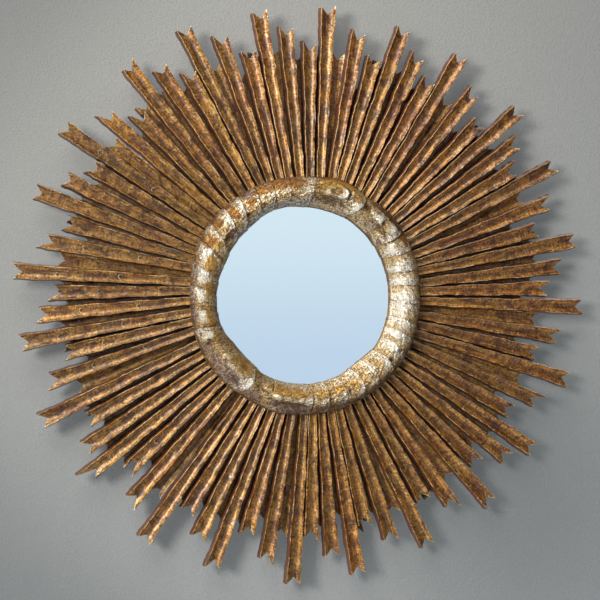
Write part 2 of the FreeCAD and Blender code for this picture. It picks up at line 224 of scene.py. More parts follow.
class Term:
    """A number socket that takes part in Python sums, so that shader maths reads as a formula."""

    def __init__(self, tree: bpy.types.NodeTree, socket: bpy.types.NodeSocket) -> None:
        """Wraps a socket of a tree."""
        self.tree = tree
        self.socket = socket

    def join(self, kind: str, first: object, second: object) -> "Term":
        """Adds one Math node.

        Args:
            kind: the node's operation.
            first: its first term or number.
            second: its second term or number.

        Returns:
            The result as a term.
        """
        node = self.tree.nodes.new("ShaderNodeMath")
        node.operation = kind
        for slot, value in enumerate((first, second)):
            if isinstance(value, Term):
                self.tree.links.new(value.socket, node.inputs[slot])
            else:
                node.inputs[slot].default_value = value
        return Term(self.tree, node.outputs[0])

    def __add__(self, other: object) -> "Term":
        """self + other"""
        return self.join("ADD", self, other)

    def __radd__(self, other: object) -> "Term":
        """other + self"""
        return self.join("ADD", other, self)

    def __sub__(self, other: object) -> "Term":
        """self - other"""
        return self.join("SUBTRACT", self, other)

    def __rsub__(self, other: object) -> "Term":
        """other - self"""
        return self.join("SUBTRACT", other, self)

    def __mul__(self, other: object) -> "Term":
        """self * other"""
        return self.join("MULTIPLY", self, other)

    def __rmul__(self, other: object) -> "Term":
        """other * self"""
        return self.join("MULTIPLY", other, self)

    def size(self) -> "Term":
        """The value without its sign."""
        return self.join("ABSOLUTE", self, 0.0)

    def most(self, other: object) -> "Term":
        """The larger of the two."""
        return self.join("MAXIMUM", self, other)

    def below(self, other: object) -> "Term":
        """1 where the value is less than the other, otherwise 0."""
        return self.join("LESS_THAN", self, other)


class Painter:
    """Adds nodes to one tree and joins them."""

    def __init__(self, tree: bpy.types.NodeTree) -> None:
        """Empties the tree."""
        self.tree = tree
        self.tree.nodes.clear()

    def node(self, kind: str, settings: dict | None = None, inputs: dict | None = None) -> bpy.types.Node:
        """Adds a node.

        Args:
            kind: the node's type.
            settings: properties of the node, set first.
            inputs: values or links of its sockets, by name or number.

        Returns:
            The new node.
        """
        made = self.tree.nodes.new(kind)
        for label, value in (settings or {}).items():
            setattr(made, label, value)
        for label, value in (inputs or {}).items():
            self.feed(made.inputs[label], value)
        return made

    def feed(self, socket: bpy.types.NodeSocket, value: object) -> None:
        """Links a term or a socket to a socket, or sets it to a plain value.

        Args:
            socket: the socket that is fed.
            value: a term, another node's socket, a number or a colour.
        """
        if isinstance(value, Term):
            self.tree.links.new(value.socket, socket)
        elif isinstance(value, bpy.types.NodeSocket):
            self.tree.links.new(value, socket)
        else:
            socket.default_value = value

    def marks(self, label: str) -> tuple[Term, Term, Term]:
        """Reads one vector attribute of the mesh.

        Args:
            label: the attribute's name.

        Returns:
            Its three numbers as terms.
        """
        read = self.node("ShaderNodeAttribute", {"attribute_name": label})
        parts = self.node("ShaderNodeSeparateXYZ", inputs={0: read.outputs["Vector"]})
        first, second, third = (Term(self.tree, parts.outputs[axis]) for axis in range(3))
        return first, second, third

    def point(self, x: object, y: object, z: object) -> bpy.types.NodeSocket:
        """A vector from three terms or numbers."""
        return self.node("ShaderNodeCombineXYZ", inputs={0: x, 1: y, 2: z}).outputs[0]

    def object_place(self) -> bpy.types.NodeSocket:
        """The point of the surface in the object's own metres."""
        return self.node("ShaderNodeTexCoord").outputs["Object"]

    def measure(self, operation: str, *vectors: object) -> Term:
        """The number that a Vector Math operation, such as LENGTH, gives for one or two vectors."""
        made = self.node("ShaderNodeVectorMath", {"operation": operation}, dict(enumerate(vectors)))
        return Term(self.tree, made.outputs["Value"])

    def noise(self, place: object, scale: float, detail: float = 4.0, rough: float = 0.55,
              twist: float = 0.0) -> Term:
        """Cloudy noise between 0 and 1.

        Args:
            place: the point at which it is read.
            scale: how many clouds there are to a unit of length.
            detail: how many finer octaves are added.
            rough: how much height each octave keeps.
            twist: how far the clouds are pulled about.

        Returns:
            The noise as a term.
        """
        inputs = {"Vector": place, "Scale": scale, "Detail": detail, "Roughness": rough, "Distortion": twist}
        made = self.node("ShaderNodeTexNoise", {"noise_dimensions": "3D"}, inputs)
        return Term(self.tree, made.outputs["Fac"])

    def cells(self, place: object, scale: float) -> Term:
        """Distance to the nearest of many scattered dots."""
        made = self.node("ShaderNodeTexVoronoi", {"feature": "F1"}, {"Vector": place, "Scale": scale})
        return Term(self.tree, made.outputs["Distance"])

    def band(self, term: Term, low: float, high: float, start: float = 0.0, end: float = 1.0) -> Term:
        """Moves smoothly from start to end as the term goes from low to high."""
        inputs = {0: term, 1: low, 2: high, 3: start, 4: end}
        made = self.node("ShaderNodeMapRange", {"interpolation_type": "SMOOTHSTEP"}, inputs)
        return Term(self.tree, made.outputs[0])

    def over(self, share: object, under: object, top: object, how: Blend = Blend.MIX) -> bpy.types.NodeSocket:
        """Lays one colour over another.

        Args:
            share: how much of the upper colour shows.
            under: the lower colour.
            top: the upper colour.
            how: how the two are blended.

        Returns:
            The colour that shows.
        """
        made = self.node("ShaderNodeMix", {"data_type": "RGBA", "blend_type": how.value})
        for identifier, value in (("Factor_Float", share), ("A_Color", under), ("B_Color", top)):
            socket = next(item for item in made.inputs if item.identifier == identifier)
            self.feed(socket, value)
        return next(item for item in made.outputs if item.identifier == "Result_Color")

    def layered(self, colour: object, *layers: tuple[object, object]) -> bpy.types.NodeSocket:
        """Lays colours over a colour in turn, each given as its share and itself."""
        for share, top in layers:
            colour = self.over(share, colour, top)
        return colour

    def shaded(self, colour: object, level: Term) -> bpy.types.NodeSocket:
        """Multiplies all parts of a colour by one level."""
        grey = self.node("ShaderNodeCombineColor", inputs={0: level, 1: level, 2: level}).outputs[0]
        return self.over(1.0, colour, grey, Blend.MULTIPLY)

    def relief(self, height: Term, depth: float) -> bpy.types.NodeSocket:
        """A bump of a height field that runs from 0 to 1, depth metres deep."""
        inputs = {"Height": height, "Distance": depth, "Strength": 1.0}
        return self.node("ShaderNodeBump", inputs=inputs).outputs["Normal"]


class Finish(Painter):
    """Builds one node material around a Principled shader."""

    def __init__(self, name: str) -> None:
        """Starts an empty material with its shader and output.

        Args:
            name: the material's name.
        """
        self.material = bpy.data.materials.new(name)
        self.material.use_nodes = True
        super().__init__(self.material.node_tree)
        self.shader = self.node("ShaderNodeBsdfPrincipled")
        self.output = self.node("ShaderNodeOutputMaterial", inputs={"Surface": self.shader.outputs[0]})

    def set(self, **sockets: object) -> None:
        """Sets or links the shader's own sockets; an underscore stands for a space."""
        for label, value in sockets.items():
            self.feed(self.shader.inputs[label.replace("_", " ")], value)


Colour = tuple[float, float, float, float]


def tint(red: float, green: float, blue: float) -> Colour:
    """A colour from the 0 to 255 numbers of a screen, as linear light."""
    shares = [value / 255.0 for value in (red, green, blue)]
    linear = [share / 12.92 if share <= 0.04045 else ((share + 0.055) / 1.055) ** 2.4 for share in shares]
    return linear[0], linear[1], linear[2], 1.0


@dataclass(frozen=True)
class RayGilding:
    """Rubbed gold leaf over red-brown ground on carved sticks, with dirt in the valley.

    metal, rough and coat are the shares on clean leaf, and coat_bend is the coat's index of refraction.
    """

    name: str
    gold: Colour = tint(211, 142, 50)
    # Bright leaf for flecks, and the painted highlight along rubbed rims and on the nail cuts' lips.
    bright: Colour = tint(252, 244, 206)
    brown: Colour = tint(104, 45, 12)
    # Dirt, also used for the painted shade beside the sticks above and down the flanks.
    dirt: Colour = tint(50, 19, 5)
    ground: Colour = tint(136, 62, 24)
    flank: Colour = tint(136, 80, 36)
    plum: Colour = tint(106, 56, 32)
    ochre: Colour = tint(192, 142, 56)
    thin: Colour = tint(182, 144, 60)
    reddish: Colour = tint(182, 122, 48)
    yellowish: Colour = tint(214, 176, 76)
    metal: float = 0.66
    rough: float = 0.58
    coat: float = 0.66
    coat_rough: float = 0.36
    coat_bend: float = 1.65
    relief: float = 1.1 * MM
    cut_radius: float = 3.0 * MM

    def build(self) -> bpy.types.Material:
        """Makes the material.

        Fine ripples run across the stick and streaks along it. Smudges and small pits are scattered
        over it, the valley holds dirt, and the rims are rubbed down to the red ground or rubbed bright, which
        also makes a painted highlight along them. The flanks are mostly ground, with painted shade towards
        the back. A gouge's half-round cut marks each sunk nail: its lip carries a painted highlight,
        strongest on the sticks that point left, and inside it is dark with dirt and painted shade. Painted
        shade darkens the corners beside the sticks that lie above.

        Returns:
            The finished material.
        """
        paint = Finish(self.name)
        along, across, layer = paint.marks("grain")
        valley, edge, flank = paint.marks("wear")
        seed, warmth, light = paint.marks("ray")
        cut_along, cut_across, cut_highlight_share = paint.marks("cut")
        painted_gap_shade, _, _ = paint.marks("painted_gap_shade")
        lengthwise = paint.point(along * 18.0, across * 260.0 + seed, layer * 120.0)
        crosswise = paint.point(along * 40.0 + seed, across * 75.0, layer * 40.0)
        slow = paint.point(along * 17.0 + seed, across * 45.0, layer * 20.0)
        even = paint.point(along, across + seed, layer)
        crossing = paint.point(along * 430.0 + across * 60.0, across * 62.0 + seed, layer * 60.0)
        streaks = paint.noise(lengthwise, 1.0, 5.0, 0.62)
        ripples = paint.noise(crossing, 1.0, 2.0, 0.6, 0.3)
        smudges = paint.noise(crosswise, 1.0, 5.0, 0.66, 0.5)
        drift = paint.noise(slow, 1.0, 3.0, 0.55)
        blots = paint.noise(even, 74.0, 3.0, 0.58, 0.4)
        clouds = paint.noise(even, 40.0, 5.0, 0.62)
        grit = paint.noise(even, 300.0, 4.0, 0.72)
        pits = paint.band(paint.cells(even, 270.0), 0.12, 0.32, 1.0, 0.0)
        holes = pits * paint.band(paint.noise(even, 85.0, 2.0), 0.46, 0.60)

        tone = streaks * 0.26 + ripples * 0.16 + clouds * 0.30 + grit * 0.28
        flecks = paint.band(grit * 0.6 + ripples * 0.4, 0.54, 0.64) * (1.0 - valley * 0.5)
        dark = paint.band(smudges, 0.54, 0.64)
        worn = paint.band(clouds * 0.8 + edge * 0.22 + grit * 0.3, 0.74, 0.90)
        # Rubbed leaf at the rims, which also serves as a painted highlight along them.
        rubbed = paint.band(edge * 0.7 + grit * 0.6 + clouds * 0.2, 0.84, 1.06)
        # Painted shade in the corners beside the sticks that lie above.
        shut = paint.band(painted_gap_shade, 0.26, 0.90)
        reach = paint.measure("LENGTH", paint.point(cut_along, cut_across, 0.0))
        # The cut's lip is a painted highlight, shown on the sticks that face the light, and its inside is
        # darkened with dirt and painted shade.
        half = paint.band(cut_along, -0.6 * MM, 0.9 * MM) * paint.band(cut_highlight_share, 0.4, 1.0)
        lip = paint.band((reach - self.cut_radius).size(), 0.25 * MM, 0.75 * MM, 1.0, 0.0) * half
        scoop = paint.band(reach, 1.4 * MM, 3.2 * MM, 1.0, 0.0) * cut_highlight_share.most(0.3)

        leaf = paint.layered(
            paint.over(paint.band(tone, 0.42, 0.58), self.brown, self.gold),
            (0.30, paint.over(paint.band(warmth, 0.0, 1.0), self.reddish, self.yellowish)),
            (paint.band(drift, 0.54, 0.68) * 0.55, self.ground),
            (paint.band(drift, 0.46, 0.34) * 0.35, self.thin),
            (paint.band(blots, 0.51, 0.60) * 0.7, self.plum),
            (paint.band(blots, 0.46, 0.36) * 0.4, self.ochre),
            (paint.band(along, 0.10, 0.0) * 0.35, self.ochre),
            (flecks * 0.56, self.bright),
            (paint.band(grit, 0.48, 0.38) * 0.84, self.dirt),
            (paint.band(streaks, 0.45, 0.35) * 0.6, self.dirt),
            (paint.band(ripples, 0.44, 0.34) * 0.26, self.dirt),
            (dark * 0.70, self.dirt),
            (worn * 0.6, self.ground),
            # Painted highlight along the rubbed rims.
            (rubbed * 0.54, self.bright),
            (paint.band(valley, 0.72, 1.0) * (0.20 + smudges * 0.6), self.dirt),
            (paint.band(flank, 0.0, 0.12) * 0.9,
             paint.over(paint.band(clouds, 0.35, 0.65), self.flank, self.ground)),
            # Painted shade: the flanks darken towards the back.
            (paint.band(flank, 0.25, 0.9) * 0.6, self.dirt),
            (holes * 0.85, self.dirt),
            # Painted shade beside the sticks that lie above.
            (shut * 0.90, self.dirt),
            # Dirt and painted shade inside the nail cuts, and a painted highlight on their lips.
            (scoop * (0.25 + smudges * 0.8), self.dirt),
            (lip * 0.75, self.bright),
        )
        metal = self.metal - dark * 0.35 - holes * 0.4 - worn * 0.3 - flank * 0.6 - shut * 0.5
        rough = self.rough - warmth * 0.15 + clouds * 0.12 + dark * 0.2 + holes * 0.2 + worn * 0.15
        height = streaks * 0.30 + ripples * 0.13 + smudges * 0.13 + grit * 0.36
        height = height - holes * 0.5 + lip * 0.5 - scoop * 0.8
        paint.set(Base_Color=paint.shaded(leaf, light), Metallic=metal.most(0.05),
                  Roughness=rough + flank * 0.2, Normal=paint.relief(height, self.relief),
                  Coat_Weight=self.coat - dark * 0.36 - shut * 0.6,
                  Coat_Roughness=self.coat_rough, Coat_IOR=self.coat_bend)
        return paint.material


@dataclass(frozen=True)
class RingGilding:
    """Old pale leaf with brown speckles, ticks and hatching, red ground in the crevices and gold outside.

    metal and rough are the shares on clean leaf, and least_calm is the least share of dark marks that
    the palest patches keep.
    """

    name: str
    leaf: Colour = tint(240, 214, 164)
    # Pale leaf: random paler leaf, and the painted highlights.
    pale: Colour = tint(252, 247, 232)
    # Straw for the scales' low ends, partly painted shade.
    straw: Colour = tint(198, 154, 80)
    ochre: Colour = tint(212, 164, 74)
    amber: Colour = tint(172, 112, 34)
    # Mauve-grey: a painted reflection of the sky on the shaded outer slope.
    purple: Colour = tint(146, 126, 126)
    # Pale bluish grey: painted light that the glass throws back onto the inner lip.
    blue: Colour = tint(206, 212, 210)
    umber: Colour = tint(72, 42, 16)
    ground: Colour = tint(98, 44, 30)
    metal: float = 0.82
    rough: float = 0.37
    least_calm: float = 0.15
    relief: float = 1.5 * MM

    def build(self) -> bpy.types.Material:
        """Makes the material.

        The raised end of every scale is pale and its low end straw, partly the leaf's own toning and partly
        painted highlight and shade. Patches of the other tones are broken up by noise, and what lies in the
        crevices is red ground or dirt. Some patches are painted light: pale highlights, a mauve-grey
        reflection of the sky on the shaded outer slope and bluish light from the glass on the inner lip. The
        dirt tone also holds painted shade along the ring's edges and on its shaded slopes. Ticks along and
        across the carving, slanting hatching and speckles of dirt are scattered over it all.

        Returns:
            The finished material.
        """
        paint = Finish(self.name)
        climb, edge, crevice = paint.marks("wear")
        amber, ochre, purple = paint.marks("cast")
        # Dirt with painted shade, red ground, and painted light thrown back from the glass.
        dirt, red_share, blue = paint.marks("soil_shade_and_glass_light")
        # The third mark is the pale tone's share: painted highlight.
        arc, drop, pale = paint.marks("grain")
        place = paint.object_place()
        clouds = paint.noise(place, 46.0, 5.0, 0.62)
        patches = paint.noise(place, 150.0, 4.0, 0.68, 0.6)
        fine = paint.noise(place, 420.0, 4.0, 0.70)
        scabs = paint.band(paint.noise(place, 250.0, 3.0, 0.70, 1.2), 0.535, 0.60)
        across_it, along_it, slanting = (
            paint.noise(paint.point(*spot), 1.0, 2.0, 0.6) for spot in (
                (arc * 420.0, drop * 90.0, 0.0),
                (arc * 90.0, drop * 440.0, 3.0),
                (arc * 260.0 + drop * 210.0, drop * 110.0 - arc * 80.0, 5.0)))
        ticks = paint.band(across_it, 0.55, 0.60).most(paint.band(along_it, 0.57, 0.62))
        hatching = paint.band(slanting, 0.54, 0.60)
        dots = paint.band(paint.cells(place, 330.0), 0.18, 0.36, 1.0, 0.0)
        speckles = dots * paint.band(paint.noise(place, 75.0, 3.0) + dirt * 0.2, 0.40, 0.58)
        break_up = 1.0 + (patches - 0.5) * 3.4 + (fine - 0.5) * 2.2
        calm = (1.0 - pale * 0.72 - ochre * 0.35 - amber * 0.25).most(self.least_calm)

        # Painted highlight and shade: the leaf whitens towards the scales' raised ends and in the pale
        # patches, and the low ends take straw, partly the leaf's own toning.
        whiten = clouds * 0.8 + fine * 0.6 + climb * 0.4 + pale * break_up * 0.5
        low = paint.band(climb + clouds * 0.9 + patches * 0.5 - 0.7, 0.05, 0.65, 1.0, 0.0) * calm
        red = paint.band(edge * 0.30 + crevice * 0.60 + patches, 0.98, 1.20)
        red = red.most(paint.band(red_share * break_up, 0.30, 0.80))
        # Dirt and painted shade darken to umber.
        soot_and_shade = paint.band(dirt * break_up, 0.15, 0.95) * 0.85
        # The mauve-grey cast is a painted reflection of the sky, and the blue cast painted light from the
        # glass.
        casts = ((ochre, 0.9, self.ochre), (amber, 0.92, self.amber),
                 (purple, 0.72, self.purple), (blue, 0.7, self.blue))
        colour = paint.layered(
            paint.over(paint.band(whiten, 0.80, 1.30), self.leaf, self.pale),
            (low * 0.45, self.straw),
            *((paint.band(share * break_up, 0.22, 0.60) * strength, tone) for share, strength, tone in casts),
            (paint.band(fine, 0.47, 0.36) * calm * 0.78, self.umber),
            (scabs * calm * 0.8, self.umber),
            (red * 0.8, self.ground),
            (ticks * calm * 0.75, self.umber),
            (hatching * calm * 0.52, self.umber),
            (speckles * calm * 0.9, self.umber),
            (soot_and_shade, self.umber),
        )
        metal = self.metal - speckles * 0.5 - scabs * 0.35 - red * 0.5 - ticks * 0.3 - soot_and_shade * 0.4
        metal = metal - purple * 0.2 - pale * 0.30 - amber * 0.25 - blue * 0.5
        rough = self.rough + clouds * 0.10 - pale * 0.06 + speckles * 0.2 + scabs * 0.15
        height = patches * 0.45 + fine * 0.35 - speckles * 0.3 - ticks * 0.25 - hatching * 0.2 - scabs * 0.15
        paint.set(Base_Color=colour, Metallic=metal.most(0.05), Roughness=rough + fine * 0.1 + dirt * 0.1,
                  Normal=paint.relief(height, self.relief))
        return paint.material


@dataclass(frozen=True)
class MirrorGlass:
    """Silvered glass with a few faintly misted clouds."""

    name: str
    silver: Colour = (0.90, 0.915, 0.92, 1.0)
    mist: Colour = (0.80, 0.84, 0.86, 1.0)

    def build(self) -> bpy.types.Material:
        """Makes the material.

        Returns:
            The finished material.
        """
        paint = Finish(self.name)
        mist = paint.noise(paint.object_place(), 9.0, 3.0, 0.5)
        colour = paint.over(paint.band(mist, 0.45, 0.75) * 0.06, self.silver, self.mist)
        paint.set(Base_Color=colour, Metallic=1.0, Roughness=0.012 + mist * 0.012)
        return paint.material


@dataclass(frozen=True)
class PlainWood:
    """Sawn or stained wood with upright grain, or pressed board."""

    name: str
    pale: Colour
    dark: Colour
    rough: float = 0.72
    stretch: tuple[float, float, float] = (60.0, 60.0, 3.0)
    relief: float = 0.5 * MM

    def build(self) -> bpy.types.Material:
        """Makes the material.

        Returns:
            The finished material.
        """
        paint = Finish(self.name)
        place = paint.object_place()
        drawn = paint.node("ShaderNodeMapping", inputs={"Vector": place, "Scale": self.stretch}).outputs[0]
        grain = paint.noise(drawn, 1.0, 6.0, 0.62, 0.8)
        pores = paint.noise(drawn, 7.0, 2.0, 0.5)
        stains = paint.noise(place, 9.0, 4.0, 0.6)
        colour = paint.layered(
            paint.over(paint.band(grain, 0.34, 0.68), self.dark, self.pale),
            (paint.band(pores, 0.60, 0.72) * 0.5, self.dark),
            (paint.band(stains, 0.48, 0.70) * 0.35, self.dark))
        paint.set(Base_Color=colour, Roughness=self.rough + grain * 0.15,
                  Normal=paint.relief(grain * 0.7 + pores * 0.3, self.relief))
        return paint.material


@dataclass(frozen=True)
class DullMetal:
    """Small hardware: zinc or iron with scuffs and stains."""

    name: str
    clean: Colour
    stained: Colour
    rough: float
    metal: float = 0.95
    relief: float = 0.08 * MM

    def build(self) -> bpy.types.Material:
        """Makes the material.

        Returns:
            The finished material.
        """
        paint = Finish(self.name)
        place = paint.object_place()
        scuffs = paint.noise(place, 900.0, 4.0, 0.65)
        stains = paint.noise(place, 260.0, 4.0, 0.6)
        spots = paint.band(stains, 0.50, 0.66)
        colour = paint.over(spots, self.clean, self.stained)
        paint.set(Base_Color=colour, Metallic=self.metal - spots * 0.4, Roughness=self.rough + scuffs * 0.25,
                  Normal=paint.relief(scuffs * 0.6 + stains * 0.4, self.relief))
        return paint.material


# Rays


@dataclass(frozen=True)
class StickPlan:
    """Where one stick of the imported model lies: its root, directions, widths and ends, in metres."""

    root: np.ndarray
    along: np.ndarray
    across: np.ndarray
    root_width: float
    tip_width: float
    left_length: float
    right_length: float
    notch_length: float
    back: float
    front: float

    @property
    def clock(self) -> float:
        """The stick's angle, clockwise from the top, in degrees."""
        return math.degrees(math.atan2(self.along[0], self.along[1])) % 360.0

    def clearance(self, flat: np.ndarray, spread: float) -> np.ndarray:
        """How far points lie outside the stick's sides, or 1 metre where they lie past its end.

        Args:
            flat: the points, across and up, in metres.
            spread: how far the stick's foot stands out past its face.

        Returns:
            The distance of each point, less than zero under the stick.
        """
        run = (flat - self.root) @ self.along
        off = (flat - self.root) @ self.across
        longest = np.where(off < 0.0, self.left_length, self.right_length)
        half = (self.root_width + (self.tip_width - self.root_width) * run / longest) / 2.0 + spread
        return np.where(run < longest, np.abs(off) - half, 1.0)


def corners_of(node: str) -> np.ndarray:
    """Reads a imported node.

    Args:
        node: its name.

    Returns:
        All its vertices, as an array of points.
    """
    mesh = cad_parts[node].data
    flat = np.empty(len(mesh.vertices) * 3, dtype=np.float32)
    mesh.vertices.foreach_get("co", flat)
    return flat.reshape(-1, 3).astype(float)


def read_stick(points: np.ndarray, root_depth: float = 1.2 * MM, middle_width: float = 0.3 * MM) -> StickPlan:
    """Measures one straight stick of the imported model.

    The root's two corners give the line across it, and what is square to that line is the stick's
    direction. The horns are the furthest points on each side, and the notch is the furthest on the middle.

    Args:
        points: the stick's vertices.
        root_depth: how far behind the innermost vertex the root's corners may lie.
        middle_width: how far off the middle line the notch may lie.

    Returns:
        Its plan.
    """
    flat = points[:, [0, 2]]
    middle = flat.mean(axis=0)
    outward = middle / np.linalg.norm(middle)
    reach = flat @ outward
    near = flat[reach < reach.min() + root_depth]
    side = near @ np.array([outward[1], -outward[0]])
    left, right = near[side.argmin()], near[side.argmax()]
    width = float(np.linalg.norm(right - left))
    across = (right - left) / width
    along = np.array([-across[1], across[0]])
    root = (left + right) / 2.0
    run = (flat - root) @ along
    off = (flat - root) @ across
    centre_line = np.abs(off) < middle_width
    return StickPlan(
        root=root, along=along, across=across, root_width=width,
        tip_width=float(off.max() - off.min()),
        left_length=float(run[off < 0.0].max()), right_length=float(run[off > 0.0].max()),
        notch_length=float(run[centre_line].max()),
        back=float(points[:, 1].max()), front=float(points[:, 1].min()),
    )


def split_round(points: np.ndarray, widest_gap: float = 3.0) -> list[np.ndarray]:
    """Splits the vertices of sticks set round a circle into one array for each stick.

    Args:
        points: the vertices of all the sticks of one node.
        widest_gap: neighbouring vertices of one stick are never further apart than this, in degrees.

    Returns:
        The arrays, clockwise.
    """
    clock = np.degrees(np.arctan2(points[:, 0], points[:, 2])) % 360.0
    order = np.argsort(clock)
    clock, points = clock[order], points[order]
    breaks = np.flatnonzero(np.diff(clock) > widest_gap) + 1
    groups = np.split(points, breaks)
    if (clock[0] + 360.0) - clock[-1] <= widest_gap:
        groups[0] = np.concatenate([groups.pop(), groups[0]])
    return groups


@dataclass
class Sticks:
    """The grooved sticks of one tier and how their surfaces are carved, in metres.

    A spread is how far the back stands out past the face. A wave is the longest wavelength of an
    irregular line. Shares are of the stick's length, of its half width or of its thickness. Only
    cut_along and cut_aside, how far a nail's cut strays, are in millimetres.
    """

    tier: Tier
    rim: float = 1.0 * MM
    rim_round: float = 0.8 * MM
    root_groove: float = 2.8 * MM
    tip_groove: float = 5.2 * MM
    groove_wobble: float = 0.05
    groove_wave: float = 0.06
    valley_power: float = 2.3
    back_bevel: float = 0.5 * MM
    root_spread: float = 0.8 * MM
    tip_spread: float = 2.3 * MM
    horn_tip: float = 0.7 * MM
    horn_inset: float = 0.4 * MM
    horn_power: float = 0.92
    end_bevel: float = 0.35 * MM
    end_inset: float = 0.2 * MM
    end_ragged: float = 0.45 * MM
    end_wave: float = 0.012
    end_crowding: float = 2.0
    root_fade: float = 0.12
    rim_wobble: float = 0.75 * MM
    rim_wave: float = 0.085
    rim_nicks: float = 0.20 * MM
    nick_wave: float = 0.017
    rim_draw: float = 0.35
    centre_wobble: float = 0.6 * MM
    centre_wave: float = 0.14
    valley_wobble: float = 0.22 * MM
    valley_wave: float = 0.05
    valley_slant: float = 3.0
    chips: int = 4
    chip_width: float = 3.4 * MM
    chip_depth: float = 1.7 * MM
    chip_floor: float = 0.35
    chip_shares: tuple[float, float] = (0.45, 0.95)
    chip_bite: float = 0.45
    break_ramp: float = 4.0 * MM
    cut_along: float = 4.0
    cut_aside: float = 2.0
    # Painted highlight on the nail cuts' lips: its share rises on the sticks that point left, towards the
    # light.
    lit_side_slope: float = -2.6
    lit_side_start: float = 1.7
    lit_side_spread: float = 0.25
    lit_side_range: tuple[float, float] = (0.05, 1.0)
    edge_reach: float = 1.6 * MM
    end_weight: float = 0.8
    flank_share: float = 0.7
    end_flank: float = 0.35
    foot_spread: float = 0.6 * MM
    # How far the painted shade beside the sticks above reaches out.
    gap_shade_reach: float = 1.3 * MM
    seeds: float = 60.0
    stations: int = 84
    columns: int = 19
    column_bunching: float = 1.55
    side_rows: int = 3

    def section(self, width: np.ndarray, groove: np.ndarray, height: float, drift: np.ndarray,
                chips: np.ndarray) -> tuple[np.ndarray, np.ndarray, np.ndarray]:
        """The outlines of all stations of a stick.

        The face falls from each rim to the valley as 1 less the slope share to the valley power. The
        rims' corners are quarter rounds, and the back's corners are cut off. The columns are bunched
        towards the rims.

        Args:
            width: the width at each station.
            groove: the groove's depth at each station.
            height: the stick's thickness.
            drift: how far the valley lies off the middle at each station.
            chips: how much of each rim is lost, left then right, at each station.

        Returns:
            Across and height for the face and the back at each column, and the valley share.
        """
        spread = np.linspace(-1.0, 1.0, self.columns)
        bunched = np.sign(spread) * (1.0 - (1.0 - np.abs(spread)) ** self.column_bunching)
        share = bunched[None, :]
        half = width[:, None] / 2.0
        place = share * half + drift[:, None] * (1.0 - share * share)
        inner = half - self.rim
        slope = np.clip(np.abs(share) * half / inner, 0.0, 1.0)
        valley = 1.0 - slope**self.valley_power
        chipped = np.where(share < 0.0, chips[:, :1], chips[:, 1:])
        lost = chipped * smooth_step(np.abs(share), *self.chip_shares)
        from_edge = half - np.abs(share) * half
        corner = np.clip(1.0 - from_edge / self.rim_round, 0.0, 1.0)
        rounding = self.rim_round * (1.0 - np.sqrt(1.0 - corner * corner))
        face = height - groove[:, None] * valley - lost - rounding
        back = np.clip(np.abs(share) * half - (half - self.back_bevel), 0.0, self.back_bevel)
        return np.stack([place, face], -1), np.stack([place, back], -1), valley

    def shell(self, plan: StickPlan, rng: np.random.Generator, warmth: float, light: float,
              cuts: tuple[float, ...], breaks: list["Break"], above: list[StickPlan]) -> Shell:
        """Carves one stick.

        A closed outline of face, side, back and side is carried from the root to the tip. Each point's
        distance along the stick is its station's share times the length at its own place across, so
        the end comes out as the V-shaped notch with two horns. A small grid closes each end.

        Args:
            plan: where the stick lies.
            rng: the seeded source of its irregularities.
            warmth: 0 for the redder gilding, 1 for the yellower.
            light: the share of light that its gilding has.
            cuts: how far from the mirror's middle its nails were sunk, in metres.
            breaks: the pieces that broke off its rims and horns.
            above: the sticks that lie over it, beside which shade is painted.

        Returns:
            The closed shell, with its marks.
        """
        height = plan.back - plan.front
        longest = max(plan.left_length, plan.right_length)
        share = np.linspace(0.0, 1.0, self.stations)
        share = np.concatenate([share[:-1], [1.0 - self.end_bevel / longest, 1.0]])
        inset = np.zeros(len(share))
        inset[-1] = self.end_bevel
        run = share * longest
        width = plan.root_width + (plan.tip_width - plan.root_width) * share
        left_rim, right_rim = (
            self.rim_wobble * sway(run, rng, self.rim_wave)
            + self.rim_nicks * sway(run, rng, self.nick_wave, 2)
            for _ in range(2))
        fade = smooth_step(share, 0.0, self.root_fade)
        chips = np.stack([dents(run, rng, self.chips, self.chip_width) for _ in range(2)], -1)
        chips = np.clip(chips - self.chip_floor, 0.0, 1.0) * self.chip_depth * fade[:, None]
        for loss in breaks:
            begun = smooth_step(run, loss.start, loss.start + self.break_ramp)
            going = smooth_step(-run, -loss.end, self.break_ramp - loss.end)
            chips[:, loss.side] += loss.depth * (begun * going)
        groove = self.root_groove + (self.tip_groove - self.root_groove) * share
        groove = groove * (1.0 + self.groove_wobble * sway(run, rng, self.groove_wave))
        drift = self.centre_wobble * sway(run, rng, self.centre_wave)
        face, back, valley = self.section(width - 2.0 * inset, groove, height, drift, chips)
        lean = np.clip(face[..., 0] / (width[:, None] / 2.0), -1.0, 1.0)
        push = np.where(lean < 0.0, left_rim[:, None], right_rim[:, None]) * np.abs(lean) * fade[:, None]
        bite = np.where(lean < 0.0, chips[:, :1], -chips[:, 1:]) * self.chip_bite * np.abs(lean) ** 3
        draw = np.sign(lean) * self.rim_draw * self.rim_wobble * fade[:, None] * np.abs(lean)
        face[..., 0] += push - draw + bite
        spread = self.root_spread + (self.tip_spread - self.root_spread) * share
        back[..., 0] = face[..., 0] - bite + lean * spread[:, None]
        face[..., 1] -= inset[:, None]
        ripple = sway(run[:, None] + face[..., 0] * self.valley_slant, rng, self.valley_wave)
        face[..., 1] += self.valley_wobble * ripple * valley
        back[..., 1] += inset[:, None]

